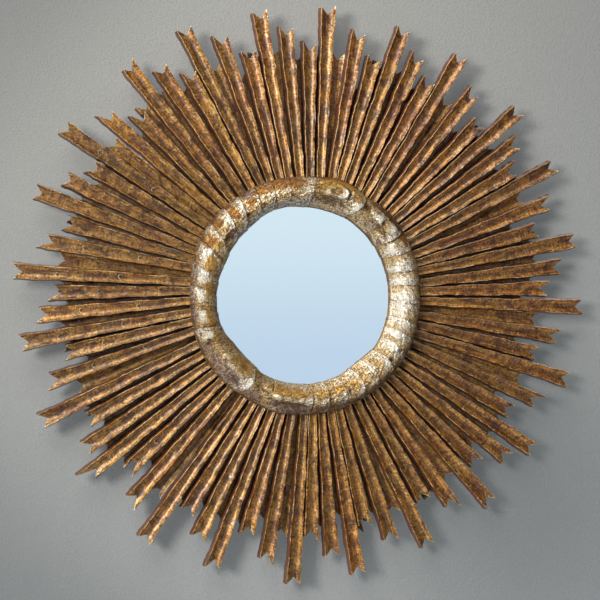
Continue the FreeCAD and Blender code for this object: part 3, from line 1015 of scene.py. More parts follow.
        ends = self.end_line(plan, face[-1, :, 0], rng)
        rows = np.linspace(0.0, 1.0, self.side_rows + 2)[1:-1]
        right_side = face[:, -1:, :] + (back[:, -1:, :] - face[:, -1:, :]) * rows[None, :, None]
        left_side = back[:, :1, :] + (face[:, :1, :] - back[:, :1, :]) * rows[None, :, None]
        loop = np.concatenate([face, right_side, back[:, ::-1], left_side], axis=1)
        end_loop = np.concatenate([ends, np.repeat(ends[-1:], len(rows)), ends[::-1],
                                   np.repeat(ends[:1], len(rows))])
        distance = share[:, None] * end_loop[None, :]
        marks = self.marks_of(loop, distance, valley, end_loop, height)

        stations, around = distance.shape
        index = np.arange(stations * around).reshape(stations, around)
        quads = [grid_faces(np.concatenate([index, index[:, :1]], axis=1))]
        extra_points, extra_marks, start = [], [], index.size
        for station in (0, stations - 1):
            made, faces, numbers = self.cap(loop[station], distance[station], index[station], start)
            extra_points.append(made)
            extra_marks.append(numbers)
            quads.append(faces)
            start += len(made)
        body = np.concatenate([loop.reshape(-1, 2), *[part[:, :2] for part in extra_points]])
        runs = np.concatenate([distance.ravel(), *[part[:, 2] for part in extra_points]])
        wear = np.concatenate([marks.reshape(-1, 3), *extra_marks])
        flat = plan.root + runs[:, None] * plan.along + body[:, :1] * plan.across
        points = np.stack([flat[:, 0], plan.back - body[:, 1], flat[:, 1]], axis=-1)
        seed = float(rng.uniform(0.0, self.seeds))
        character = np.broadcast_to([seed, warmth, light], points.shape)
        grain = np.stack([runs, body[:, 0], body[:, 1]], axis=-1)
        # Painted highlight on the nail cuts' lips, strongest on the sticks that point left, towards the
        # light.
        lit_side_level = self.lit_side_slope * plan.along[0] - self.lit_side_start + rng.normal(0.0, self.lit_side_spread)
        lit_side_share = float(np.clip(lit_side_level, *self.lit_side_range))
        cut = self.cut_marks(runs + float(np.linalg.norm(plan.root)), body[:, 0], cuts, lit_side_share, rng)
        # Painted shade: the corners beside the sticks that lie above are darkened, fading out from their
        # feet.
        painted_gap_shade = np.zeros_like(points)
        if above:
            gap = np.min([other.clearance(flat, self.foot_spread) for other in above], axis=0)
            painted_gap_shade[:, 0] = np.exp(-np.clip(gap, 0.0, None) / self.gap_shade_reach)
        marks = {"grain": grain, "wear": wear, "ray": character, "cut": cut, "painted_gap_shade": painted_gap_shade}
        return Shell(points, np.concatenate(quads), marks)

    def cut_marks(self, reach: np.ndarray, across: np.ndarray, cuts: tuple[float, ...], lit_side_share: float,
                  rng: np.random.Generator) -> np.ndarray:
        """Finds the nearest nail's cut for each point of a stick.

        Args:
            reach: how far each point lies from the mirror's middle, in metres.
            across: how far it lies off the stick's middle line.
            cuts: how far from the mirror's middle the nails were sunk.
            lit_side_share: how strongly the cuts' lips carry the painted highlight, up to 1.
            rng: the seeded source of how far each cut strays, in millimetres.

        Returns:
            How far each point lies from its cut, along and across, and how strongly its lip carries the
            painted highlight.
        """
        if not cuts:
            return np.zeros((len(reach), 3))
        spots = np.array(cuts) + rng.uniform(-self.cut_along, self.cut_along, len(cuts)) * MM
        sides = rng.uniform(-self.cut_aside, self.cut_aside, len(cuts)) * MM
        nearest = np.abs(reach[:, None] - spots).argmin(axis=1)
        level = np.full(len(reach), lit_side_share)
        return np.stack([reach - spots[nearest], across - sides[nearest], level], axis=-1)

    def end_line(self, plan: StickPlan, place: np.ndarray, rng: np.random.Generator) -> np.ndarray:
        """Cuts the stick's end: a V between two blunt horns, a little ragged.

        The length climbs from the notch to the horns as a power of the distance off the middle.

        Args:
            plan: where the stick lies.
            place: places across the end, in metres.
            rng: the seeded source of its raggedness.

        Returns:
            The stick's length at each place.
        """
        half = plan.tip_width / 2.0
        mouth = half - self.horn_tip / 2.0 - self.horn_inset
        climb = np.clip(np.abs(place) / mouth, 0.0, 1.0)
        horn = np.where(place < 0.0, plan.left_length, plan.right_length)
        ragged = self.end_ragged * sway(place * self.end_crowding, rng, self.end_wave) * (1.0 - climb)
        length = plan.notch_length + (horn - plan.notch_length) * climb**self.horn_power
        return length + ragged - self.end_inset

    def marks_of(self, loop: np.ndarray, distance: np.ndarray, valley: np.ndarray, ends: np.ndarray,
                 height: float) -> np.ndarray:
        """Marks every point of the outlines.

        Edge is 1 on a rim or at the stick's end and falls off as e to the minus distance. Flank grows
        from the rim down the sides to the back.

        Args:
            loop: across and height of every point, by station and place in the outline.
            distance: how far each lies along the stick.
            valley: the valley share of the face's points.
            ends: the stick's length at each place in the outline.
            height: the stick's thickness.

        Returns:
            The shares of valley, edge and flank of each point.
        """
        stations, around = distance.shape
        down = np.clip((height - loop[..., 1]) / height, 0.0, 1.0)
        marks = np.zeros((stations, around, 3))
        marks[:, :self.columns, 0] = valley
        face_columns = np.arange(around) < self.columns
        rim_gap = np.where(face_columns[None, :], np.abs(np.abs(loop[..., 0]) - np.abs(loop[:, :1, 0])),
                           down * height)
        end_gap = ends[None, :] - distance
        nearest = np.minimum(rim_gap, end_gap * self.end_weight)
        marks[..., 1] = np.exp(-nearest / self.edge_reach)
        marks[..., 2] = np.where(face_columns[None, :], 0.0, smooth_step(down, 0.0, self.flank_share))
        return marks

    def cap(self, outline: np.ndarray, distance: np.ndarray, index: np.ndarray,
            start: int) -> tuple[np.ndarray, np.ndarray, np.ndarray]:
        """Closes one end with a grid between the face's edge and the back's edge.

        Args:
            outline: across and height of the end's outline.
            distance: how far each of its points lies along the stick.
            index: their vertex numbers.
            start: the first number for new points.

        Returns:
            The new inner points, the faces, and the new points' marks.
        """
        face = np.arange(self.columns)
        right = self.columns + np.arange(self.side_rows)
        back = self.columns + self.side_rows + np.arange(self.columns)[::-1]
        left = 2 * self.columns + self.side_rows + np.arange(self.side_rows)[::-1]
        table = np.empty((self.side_rows + 2, self.columns), dtype=int)
        table[0], table[-1] = index[face], index[back]
        table[1:-1, 0], table[1:-1, -1] = index[left], index[right]
        rows = np.linspace(0.0, 1.0, self.side_rows + 2)[1:-1, None, None]
        top = np.concatenate([outline[face], distance[face][:, None]], axis=1)[None, 1:-1]
        low = np.concatenate([outline[back], distance[back][:, None]], axis=1)[None, 1:-1]
        inner = (top + (low - top) * rows).reshape(-1, 3)
        table[1:-1, 1:-1] = start + np.arange(len(inner)).reshape(self.side_rows, self.columns - 2)
        wear = np.zeros((len(inner), 3))
        wear[:, 2] = self.end_flank
        return inner, grid_faces(table), wear


@dataclass(frozen=True)
class Break:
    """A piece broken off a ray: the ray's angle, its side (0 left, 1 right), reach along it and depth."""

    clock: float
    side: int
    start: float
    end: float
    depth: float


@dataclass
class SunBurst:
    """The two tiers of rays and their nails, in metres and degrees.

    Cuts say how far from the mirror's middle the nails are sunk. Warmth is 0 for redder gilding and 1 for
    yellower. Each spread is the random part of a value.
    """

    front_sticks: Sticks = field(default_factory=lambda: Sticks(Tier.FRONT))
    rear_sticks: Sticks = field(default_factory=lambda: Sticks(Tier.REAR, stations=60, columns=17))
    long_count: int = 24
    seed: int = 4182
    sharp_edge: float = 42.0
    yellow_side: float = 240.0
    warmth_middle: float = 0.56
    warmth_lean: float = 0.26
    warmth_spread: float = 0.14
    light_middle: float = 0.98
    light_lean: float = 0.04
    light_upright: float = 0.05
    light_spread: float = 0.08
    light_range: tuple[float, float] = (0.75, 1.25)
    # Painted light: the rear sticks' gilding is painted lighter, most on the side where light reaches into
    # the gaps.
    bright_gap_side: float = 50.0
    painted_gap_light: float = 1.14
    painted_gap_lean: float = 0.14
    neighbour_turn: float = 12.0
    break_turn: float = 1.2
    long_cuts: tuple[float, ...] = (0.290, 0.390)
    middle_cuts: tuple[float, ...] = (0.265, 0.350)
    short_cuts: tuple[float, ...] = (0.225, 0.322)
    breaks: tuple[Break, ...] = (
        Break(25.5, 1, 0.158, 0.178, 4.0 * MM), Break(295.6, 0, 0.196, 0.300, 3.5 * MM),
        Break(230.8, 0, 0.262, 0.400, 3.0 * MM), Break(60.0, 1, 0.150, 0.172, 3.0 * MM),
        Break(276.0, 1, 0.120, 0.140, 2.5 * MM), Break(140.0, 0, 0.175, 0.190, 2.5 * MM),
    )

    def character(self, clock: float, rng: np.random.Generator) -> tuple[float, float]:
        """How warm and how light a stick's gilding is.

        The yellower, slightly darker gold lies to the lower left and the redder gold opposite, as the
        cosine of the angle between them. The upright sticks are lighter than the level ones, and each
        differs a little from the next.

        Args:
            clock: the stick's angle.
            rng: the seeded source of the differences.

        Returns:
            Warmth from 0 to 1 and the share of light.
        """
        lean = math.cos(math.radians(clock - self.yellow_side))
        upright = math.cos(math.radians(2.0 * clock))
        warmth = self.warmth_middle + self.warmth_lean * lean + rng.normal(0.0, self.warmth_spread)
        light = self.light_middle - self.light_lean * lean + self.light_upright * upright
        light = light + rng.normal(0.0, self.light_spread)
        return float(np.clip(warmth, 0.0, 1.0)), float(np.clip(light, *self.light_range))

    def carve(self, sticks: Sticks, node: str, cuts: tuple[float, ...], above: list[StickPlan],
              rng: np.random.Generator) -> list[Shell]:
        """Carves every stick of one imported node.

        Args:
            sticks: how the sticks of its tier are carved.
            node: the node's name.
            cuts: how far from the mirror's middle its nails were sunk.
            above: all the sticks that lie over its tier.
            rng: the seeded source of irregularities.

        Returns:
            One closed shell for each stick.
        """
        shells = []
        for points in split_round(corners_of(node)):
            plan = read_stick(points)
            warmth, light = self.character(plan.clock, rng)
            breaks = []
            if sticks.tier is Tier.REAR:
                # Painted light in the gaps: the rear sticks' gilding is painted lighter, most towards the
                # upper right.
                aside = math.radians(plan.clock - self.bright_gap_side)
                light *= self.painted_gap_light + self.painted_gap_lean * math.cos(aside)
            else:
                breaks = [loss for loss in self.breaks if abs(loss.clock - plan.clock) < self.break_turn]
            near = [other for other in above
                    if abs(signed_turn(other.clock - plan.clock)) < self.neighbour_turn]
            shells.append(sticks.shell(plan, rng, warmth, light, cuts, breaks, near))
        return shells

    def build(self) -> None:
        """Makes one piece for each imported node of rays, and dresses the nails."""
        front_gold = RayGilding("front_ray_gilding").build()
        # Painted light: the rear sticks' gilding is much lighter than the front's, for the light that reaches
        # into the gaps between the front sticks.
        rear_gold = RayGilding(
            "rear_ray_gilding", gold=tint(234, 182, 92), brown=tint(160, 100, 48), plum=tint(148, 100, 74),
            ochre=tint(228, 182, 90), ground=tint(164, 94, 56)).build()
        iron = DullMetal("nail_iron", tint(120, 78, 40), tint(84, 52, 28), 0.5).build()
        rng = np.random.default_rng(self.seed)
        long_nodes = [f"long_ray_{place + 1:02d}" for place in range(self.long_count)]
        front_nodes = long_nodes + ["middle_rays", "short_rays"]
        rear_nodes = [f"rear_rays_after_{name}" for name in ("long", "middle", "short")]
        cuts = {"middle_rays": self.middle_cuts, "short_rays": self.short_cuts}
        cuts.update((node, self.long_cuts) for node in long_nodes)
        over = [read_stick(points) for node in front_nodes for points in split_round(corners_of(node))]
        work = [(self.front_sticks, node, front_gold, "ray_gilding", []) for node in front_nodes]
        work += [(self.rear_sticks, node, rear_gold, "rear_ray_gilding", over) for node in rear_nodes]
        for sticks, node, gold, slot, above in work:
            shells = self.carve(sticks, node, cuts.get(node, ()), above, rng)
            piece = make_piece(f"carved_{node}", shells, self.sharp_edge)
            piece.data.materials.append(gold)
            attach(piece, ROOT_BODY)
            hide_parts(node)
            LOG.info("%s: %d sticks, %d faces", piece.name, len(shells), len(piece.data.polygons))
        for node in ("front_ray_nails", "rear_ray_nails"):
            dress_node(node, iron)


def dress_node(node: str, material: bpy.types.Material) -> None:
    """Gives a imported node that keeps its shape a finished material.

    Args:
        node: the node's name.
        material: the finish.
    """
    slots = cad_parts[node].data.materials
    slots.clear()
    slots.append(material)
    LOG.info("%s dressed in %s", node, material.name)


# Carved ring


# Each row: start, way, lift, flare, bow, slant, crown and tail, as in Scale.
SCALE_ROWS: tuple[tuple[float, ...], ...] = (
    (3.0, 1, 3.0, 4.0, 3.0, 1.6, 0.3), (30.5, 1, 3.4, 1.6, 1.0, 2.0), (46.5, 1, 3.6, 2.4, 1.6, 1.5),
    (56.5, 1, 4.4, 1.8, 1.2, 0.4, 2.0), (66.0, 1, 2.6, 1.4, 0.6, 0.8, 1.8),
    (76.3, 1, 2.4, 1.4, 0.4, 0.6, 1.6), (84.3, 1, 2.0, 1.4, 0.3, 0.6, 1.6),
    (94.0, -1, 1.8, 1.4, 0.3, 1.6, 1.6), (104.2, -1, 2.0, 1.4, 0.4, 1.0, 1.6),
    (111.5, -1, 2.6, 1.5, 0.8, 1.2, 1.6), (119.2, -1, 4.0, 1.6, 1.2, 1.6, 1.4),
    (128.8, -1, 4.6, 1.8, 1.6, 1.4), (139.0, -1, 4.8, 1.8, 1.8, 1.2), (148.2, -1, 5.2, 2.0, 2.0, 1.2),
    (158.6, -1, 4.4, 1.8, 1.4, 1.0), (168.4, -1, 3.8, 1.6, 0.8, 0.8), (177.6, -1, 3.4, 5.0, 1.4, 0.4, 0.3),
    (214.4, -1, 3.6, 4.0, 4.0, -0.4, 0.3, 3.2), (241.5, 1, 5.0, 1.5, 0.6, 1.6),
    (252.2, 1, 4.8, 1.5, 0.8, 1.6, 1.6), (261.5, 1, 4.4, 1.5, 1.0, 2.0, 1.6),
    (272.7, 1, 4.4, 1.6, 1.0, 2.6, 1.6), (282.5, 1, 5.0, 1.6, 1.0, 3.4, 1.6),
    (293.8, 1, 5.2, 1.6, 1.0, 4.0, 1.6), (302.8, 1, 5.2, 1.7, 1.2, 4.2, 1.6),
    (313.2, 1, 5.2, 1.7, 1.2, 3.6, 1.6), (322.2, 1, 5.0, 1.7, 1.2, 3.0, 1.6),
    (331.8, 1, 4.4, 1.7, 1.0, 2.2, 1.4), (341.0, 1, 3.6, 1.6, 0.6, 1.6), (350.3, 1, 2.0, 1.6, 0.4, 1.2),
)
# Each row: angle, share, their reaches, height, share of dirt and painted shade, and power, as in Swell.
# The rows with no height are painted shade: on the outer slope from the right round to the lower left,
# on the inner lip at the left and top, and at the lip's edge on the right.
SWELL_ROWS: tuple[tuple[float, ...], ...] = (
    (16.0, 0.11, 12.5, 0.11, 2.8), (14.0, 0.73, 11.0, 0.19, -4.8, 0.85, 2.0), (29.5, 0.62, 2.6, 0.30, 2.8),
    (23.4, 0.38, 1.1, 0.16, -3.4, 0.9), (5.0, 0.40, 3.0, 0.10, 1.2), (34.8, 0.36, 1.6, 0.14, -4.0, 1.0),
    (51.4, 0.34, 4.3, 0.17, 4.0, 0.0, 4.0), (46.6, 0.38, 0.8, 0.16, -3.8, 1.0),
    (41.5, 0.76, 7.0, 0.18, -2.2, 0.6), (49.0, 0.68, 6.5, 0.13, -2.4, 0.85, 2.0),
    (51.0, 0.10, 8.0, 0.07, -1.4, 0.9), (60.5, 0.72, 2.8, 0.20, 1.6), (43.0, 0.40, 4.0, 0.12, 1.4),
    (66.5, 0.40, 1.2, 0.10, -2.0, 0.6), (189.0, 0.24, 11.0, 0.13, -4.6, 1.0),
    (190.0, 0.70, 13.0, 0.20, 1.2), (196.3, 0.44, 2.4, 0.10, 3.0), (200.6, 0.76, 0.5, 0.24, -1.6, 0.8),
    (207.5, 0.50, 2.6, 0.16, -4.0, 0.9), (221.0, 0.22, 4.0, 0.14, -2.6, 0.7),
    (226.0, 0.58, 9.0, 0.32, 1.8), (233.0, 0.56, 2.6, 0.08, 1.8), (222.0, 0.76, 4.0, 0.10, -1.4, 0.6),
    (244.5, 0.30, 1.6, 0.24, -3.2, 0.7), (308.0, 0.74, 5.0, 0.14, -3.2, 0.6),
    (305.0, 0.58, 4.0, 0.05, 1.4), (323.4, 0.66, 1.2, 0.08, -2.6, 1.0),
    (334.2, 0.66, 1.0, 0.10, -2.2, 0.9), (294.0, 0.40, 3.0, 0.10, 1.6),
    (120.6, 0.28, 1.2, 0.10, -2.4, 0.8), (127.4, 0.38, 1.0, 0.10, -2.4, 0.9),
    (156.0, 0.38, 0.7, 0.16, -2.0, 0.8), (95.0, 0.30, 0.5, 0.16, -1.2, 0.7),
    (104.0, 0.30, 0.4, 0.12, -1.0, 0.6), (77.0, 0.40, 0.5, 0.10, -1.4, 0.6),
    (210.0, 0.96, 3.0, 0.24, -1.6, 0.4), (184.0, 0.10, 8.0, 0.14, 0.0, 0.7),
    (168.0, 0.12, 14.0, 0.16, 0.0, 0.8), (140.0, 0.06, 30.0, 0.16, 0.0, 0.9),
    (110.0, 0.02, 20.0, 0.10, 0.0, 0.6), (48.0, 0.06, 14.0, 0.14, -1.0, 0.85),
    (355.0, 0.72, 10.0, 0.20, 0.0, 0.25), (330.0, 0.84, 20.0, 0.14, 0.0, 0.2),
    (262.0, 0.92, 14.0, 0.12, 0.0, 0.3), (286.0, 0.88, 12.0, 0.14, 0.0, 0.2),
    (236.0, 0.20, 4.0, 0.18, 0.0, 0.2), (62.0, 1.0, 74.0, 0.006, 0.0, 1.0),
)
# Each row: angle, share, their reaches and strength, as in Patch.
PATCH_ROWS: dict[Tone, tuple[tuple[float, ...], ...]] = {
    Tone.OCHRE: (
        (17.0, 0.14, 12.0, 0.12), (75.0, 0.22, 20.0, 0.10, 0.35), (8.0, 0.30, 5.0, 0.10, 0.7),
        (16.0, 0.36, 3.4, 0.07, 0.8), (28.0, 0.30, 3.5, 0.18, 0.9), (190.0, 0.72, 15.0, 0.22, 0.9),
        (223.0, 0.74, 9.0, 0.24, 0.9), (150.0, 0.62, 8.0, 0.26, 0.5), (161.0, 0.66, 5.0, 0.22, 0.7),
        (171.0, 0.66, 5.0, 0.22, 0.8), (133.0, 0.58, 4.0, 0.22, 0.5), (257.0, 0.62, 8.0, 0.16, 0.8),
        (273.0, 0.64, 6.0, 0.18, 0.8), (288.0, 0.56, 5.0, 0.24, 0.9), (246.0, 0.62, 4.0, 0.16, 0.6),
        (299.0, 0.50, 4.0, 0.20, 0.7), (328.0, 0.50, 3.5, 0.16, 0.6),
    ),
    Tone.AMBER: (
        (345.0, 0.16, 16.0, 0.16, 0.9), (15.0, 0.03, 14.0, 0.07, 0.9), (46.0, 0.10, 12.0, 0.12, 0.9),
        (60.0, 0.16, 5.0, 0.12, 0.7), (298.5, 0.22, 4.0, 0.22, 0.8), (308.0, 0.14, 3.5, 0.16, 0.8),
        (317.8, 0.28, 2.6, 0.26, 0.9), (328.0, 0.34, 3.5, 0.16, 0.7), (352.0, 0.20, 8.0, 0.18, 0.8),
    ),
    # A mauve-grey painted reflection of the sky on the shaded outer slope.
    Tone.PURPLE_SKY_REFLECTION: (
        (189.0, 0.16, 11.0, 0.16, 1.0), (209.5, 0.16, 6.0, 0.16, 1.0), (229.0, 0.24, 11.0, 0.22, 1.0),
        (243.0, 0.14, 4.0, 0.20, 0.8), (262.0, 0.08, 10.0, 0.14, 0.6), (280.0, 0.10, 14.0, 0.16, 0.5),
        (328.5, 0.08, 3.2, 0.14, 0.8), (171.0, 0.24, 6.0, 0.14, 0.4),
    ),
    Tone.RED: (
        (308.0, 0.73, 5.2, 0.15), (323.5, 0.66, 1.2, 0.08), (335.0, 0.62, 0.9, 0.14, 0.9),
        (35.5, 0.30, 1.8, 0.12, 0.9), (47.0, 0.42, 0.9, 0.10), (53.8, 0.92, 2.4, 0.07, 0.9),
        (47.5, 1.0, 4.0, 0.04, 0.8), (66.8, 0.36, 1.2, 0.08, 0.8), (77.0, 0.36, 0.6, 0.14, 0.8),
        (94.6, 0.36, 0.6, 0.22, 0.8), (120.6, 0.28, 1.4, 0.08, 0.9), (127.3, 0.38, 1.0, 0.09, 0.9),
        (156.0, 0.44, 0.6, 0.20, 0.9), (205.8, 0.50, 2.0, 0.12, 0.6), (22.5, 0.36, 1.0, 0.14, 0.8),
        (188.0, 0.44, 3.4, 0.09, 0.4), (252.6, 0.60, 0.8, 0.26, 0.8), (284.0, 0.66, 1.0, 0.10, 0.8),
    ),
    # Painted light that the glass throws back onto the inner lip.
    Tone.GLASS_BOUNCE_LIGHT: (
        (342.0, 0.90, 24.0, 0.16, 1.0), (318.0, 0.93, 16.0, 0.12, 0.9), (253.0, 0.98, 10.0, 0.08, 0.6),
        (2.0, 0.88, 12.0, 0.14, 0.6), (283.0, 0.99, 12.0, 0.07, 0.5),
    ),
    # Painted highlights where the leaf catches the light: on the right inner slope and on raised ends round
    # the ring.
    Tone.PALE_HIGHLIGHT: (
        (78.0, 0.60, 22.0, 0.34, 0.5), (112.0, 0.60, 18.0, 0.34, 0.45), (30.0, 0.64, 2.6, 0.24),
        (11.0, 0.46, 2.2, 0.08), (0.5, 0.42, 1.4, 0.10, 0.8), (19.5, 0.40, 3.0, 0.05, 0.7),
        (43.0, 0.42, 4.4, 0.10, 0.8), (51.8, 0.36, 3.6, 0.15, 0.7), (61.0, 0.72, 3.8, 0.20),
        (73.5, 0.74, 2.2, 0.20), (81.0, 0.74, 2.8, 0.22), (90.0, 0.72, 3.2, 0.24),
        (100.0, 0.76, 6.0, 0.22), (113.0, 0.72, 3.0, 0.22), (120.0, 0.62, 2.4, 0.28),
        (129.5, 0.44, 2.0, 0.14, 0.8), (138.0, 0.72, 1.8, 0.22, 0.8), (147.8, 0.56, 1.8, 0.26),
        (157.6, 0.42, 1.4, 0.24, 0.7), (176.5, 0.46, 1.6, 0.24, 0.8), (197.0, 0.44, 2.0, 0.09),
        (213.5, 0.40, 2.2, 0.24), (233.5, 0.58, 2.6, 0.05, 0.7), (248.0, 0.36, 1.5, 0.20),
        (258.5, 0.34, 3.6, 0.16, 0.6), (270.0, 0.34, 3.6, 0.16, 0.7), (280.0, 0.34, 5.0, 0.20, 0.7),
        (289.5, 0.26, 5.0, 0.14, 0.7), (294.0, 0.38, 3.4, 0.10, 0.7), (303.5, 0.42, 3.2, 0.13, 0.4),
        (313.5, 0.38, 2.2, 0.20, 0.6), (323.4, 0.28, 2.2, 0.22, 0.6), (334.4, 0.40, 1.3, 0.18, 0.9),
        (342.6, 0.38, 1.4, 0.12, 0.8), (351.0, 0.38, 1.2, 0.10, 0.7),
    ),
}


def over_section(share: np.ndarray) -> tuple[np.ndarray, np.ndarray]:
    """Outward, from 1 at the outer foot to -1 at the inner lip, and the dome, 1 at the crest."""
    outward = 1.0 - 2.0 * share
    return outward, 1.0 - outward * outward


@dataclass(frozen=True)
class Scale:
    """One carved scale or leaf of the ring, in degrees and millimetres.

    start is where it begins; way is 1 if its raised end points clockwise and -1 if not; lift is the
    height of its raised end over its low end; flare is the power of its climb; bow is how far the middle
    of its raised end runs past its corners; slant is how far its outer corner leads clockwise; crown is
    how far its middle stands over its ends; tail is the bow of its low end where that end is free.
    """

    start: float
    way: int
    lift: float
    flare: float
    bow: float
    slant: float
    crown: float = 1.2
    tail: float = 0.0


@dataclass(frozen=True)
class Spot:
    """A place on the carving: its angle, its share of the section, and its reach in both."""

    clock: float
    share: float
    clock_reach: float
    share_reach: float

    def offsets(self, clock: np.ndarray, share: np.ndarray) -> tuple[np.ndarray, np.ndarray]:
        """How far points lie clockwise and inward of the place, in reaches."""
        return signed_turn(clock - self.clock) / self.clock_reach, (share - self.share) / self.share_reach

    def bell(self, clock: np.ndarray, share: np.ndarray, power: float) -> np.ndarray:
        """1 at the place, falling off as e to the minus a power of the squared distance."""
        aside, inward = self.offsets(clock, share)
        return np.exp(-((aside * aside + inward * inward) ** power))


@dataclass(frozen=True)
class Swell(Spot):
    """A bump or hollow of the carving: its height in millimetres and its share of dirt and painted shade.

    The higher its power, the flatter its top and the steeper its sides.
    """

    height: float
    stain_and_shade: float = 0.0
    power: float = 1.5


@dataclass(frozen=True)
class Patch(Spot):
    """A patch of one tone on the carving."""

    strength: float = 1.0


@dataclass(frozen=True)
class Eye(Spot):
    """A curled eye: an oval ridge round a hollow, lower on one side, with a boss in it.

    Places and widths of its parts are shares of the oval, and heights and depths are shares of its height.
    """

    height: float
    way: int = 1
    ridge_place: float = 0.85
    ridge_width: float = 0.22
    least_ridge: float = 0.65
    opening: float = 0.2
    boss_width: float = 0.30
    boss_height: float = 0.45
    hollow_width: float = 0.66
    hollow_depth: float = 0.80
    hollow_stain: float = 0.50
    moat_place: float = 1.24
    moat_width: float = 0.15
    moat_stain: float = 0.8

    def carve(self, clock: np.ndarray, share: np.ndarray) -> tuple[np.ndarray, np.ndarray, np.ndarray]:
        """Works out the eye's relief from bells over the distance to its middle.

        Args:
            clock: the angle of each point.
            share: its share of the section.

        Returns:
            The height in metres, the share of dirt, and the share of rubbed leaf on the ridge, painted pale
            as highlight.
        """
        aside, inward = self.offsets(clock, share)
        aside = aside * self.way
        away = np.hypot(aside, inward)
        turn = np.cos(np.arctan2(inward + self.opening, aside - self.opening))
        shut = self.least_ridge + (1.0 - self.least_ridge) * turn
        ridge = np.exp(-((away - self.ridge_place) / self.ridge_width) ** 2) * shut
        boss = np.exp(-(away / self.boss_width) ** 2)
        inside = np.exp(-(away / self.hollow_width) ** 4)
        height = self.height * (ridge + self.boss_height * boss - self.hollow_depth * inside)
        moat = self.moat_stain * np.exp(-((away - self.moat_place) / self.moat_width) ** 2) * shut
        return height, np.maximum(self.hollow_stain * inside * (1.0 - boss), moat), ridge


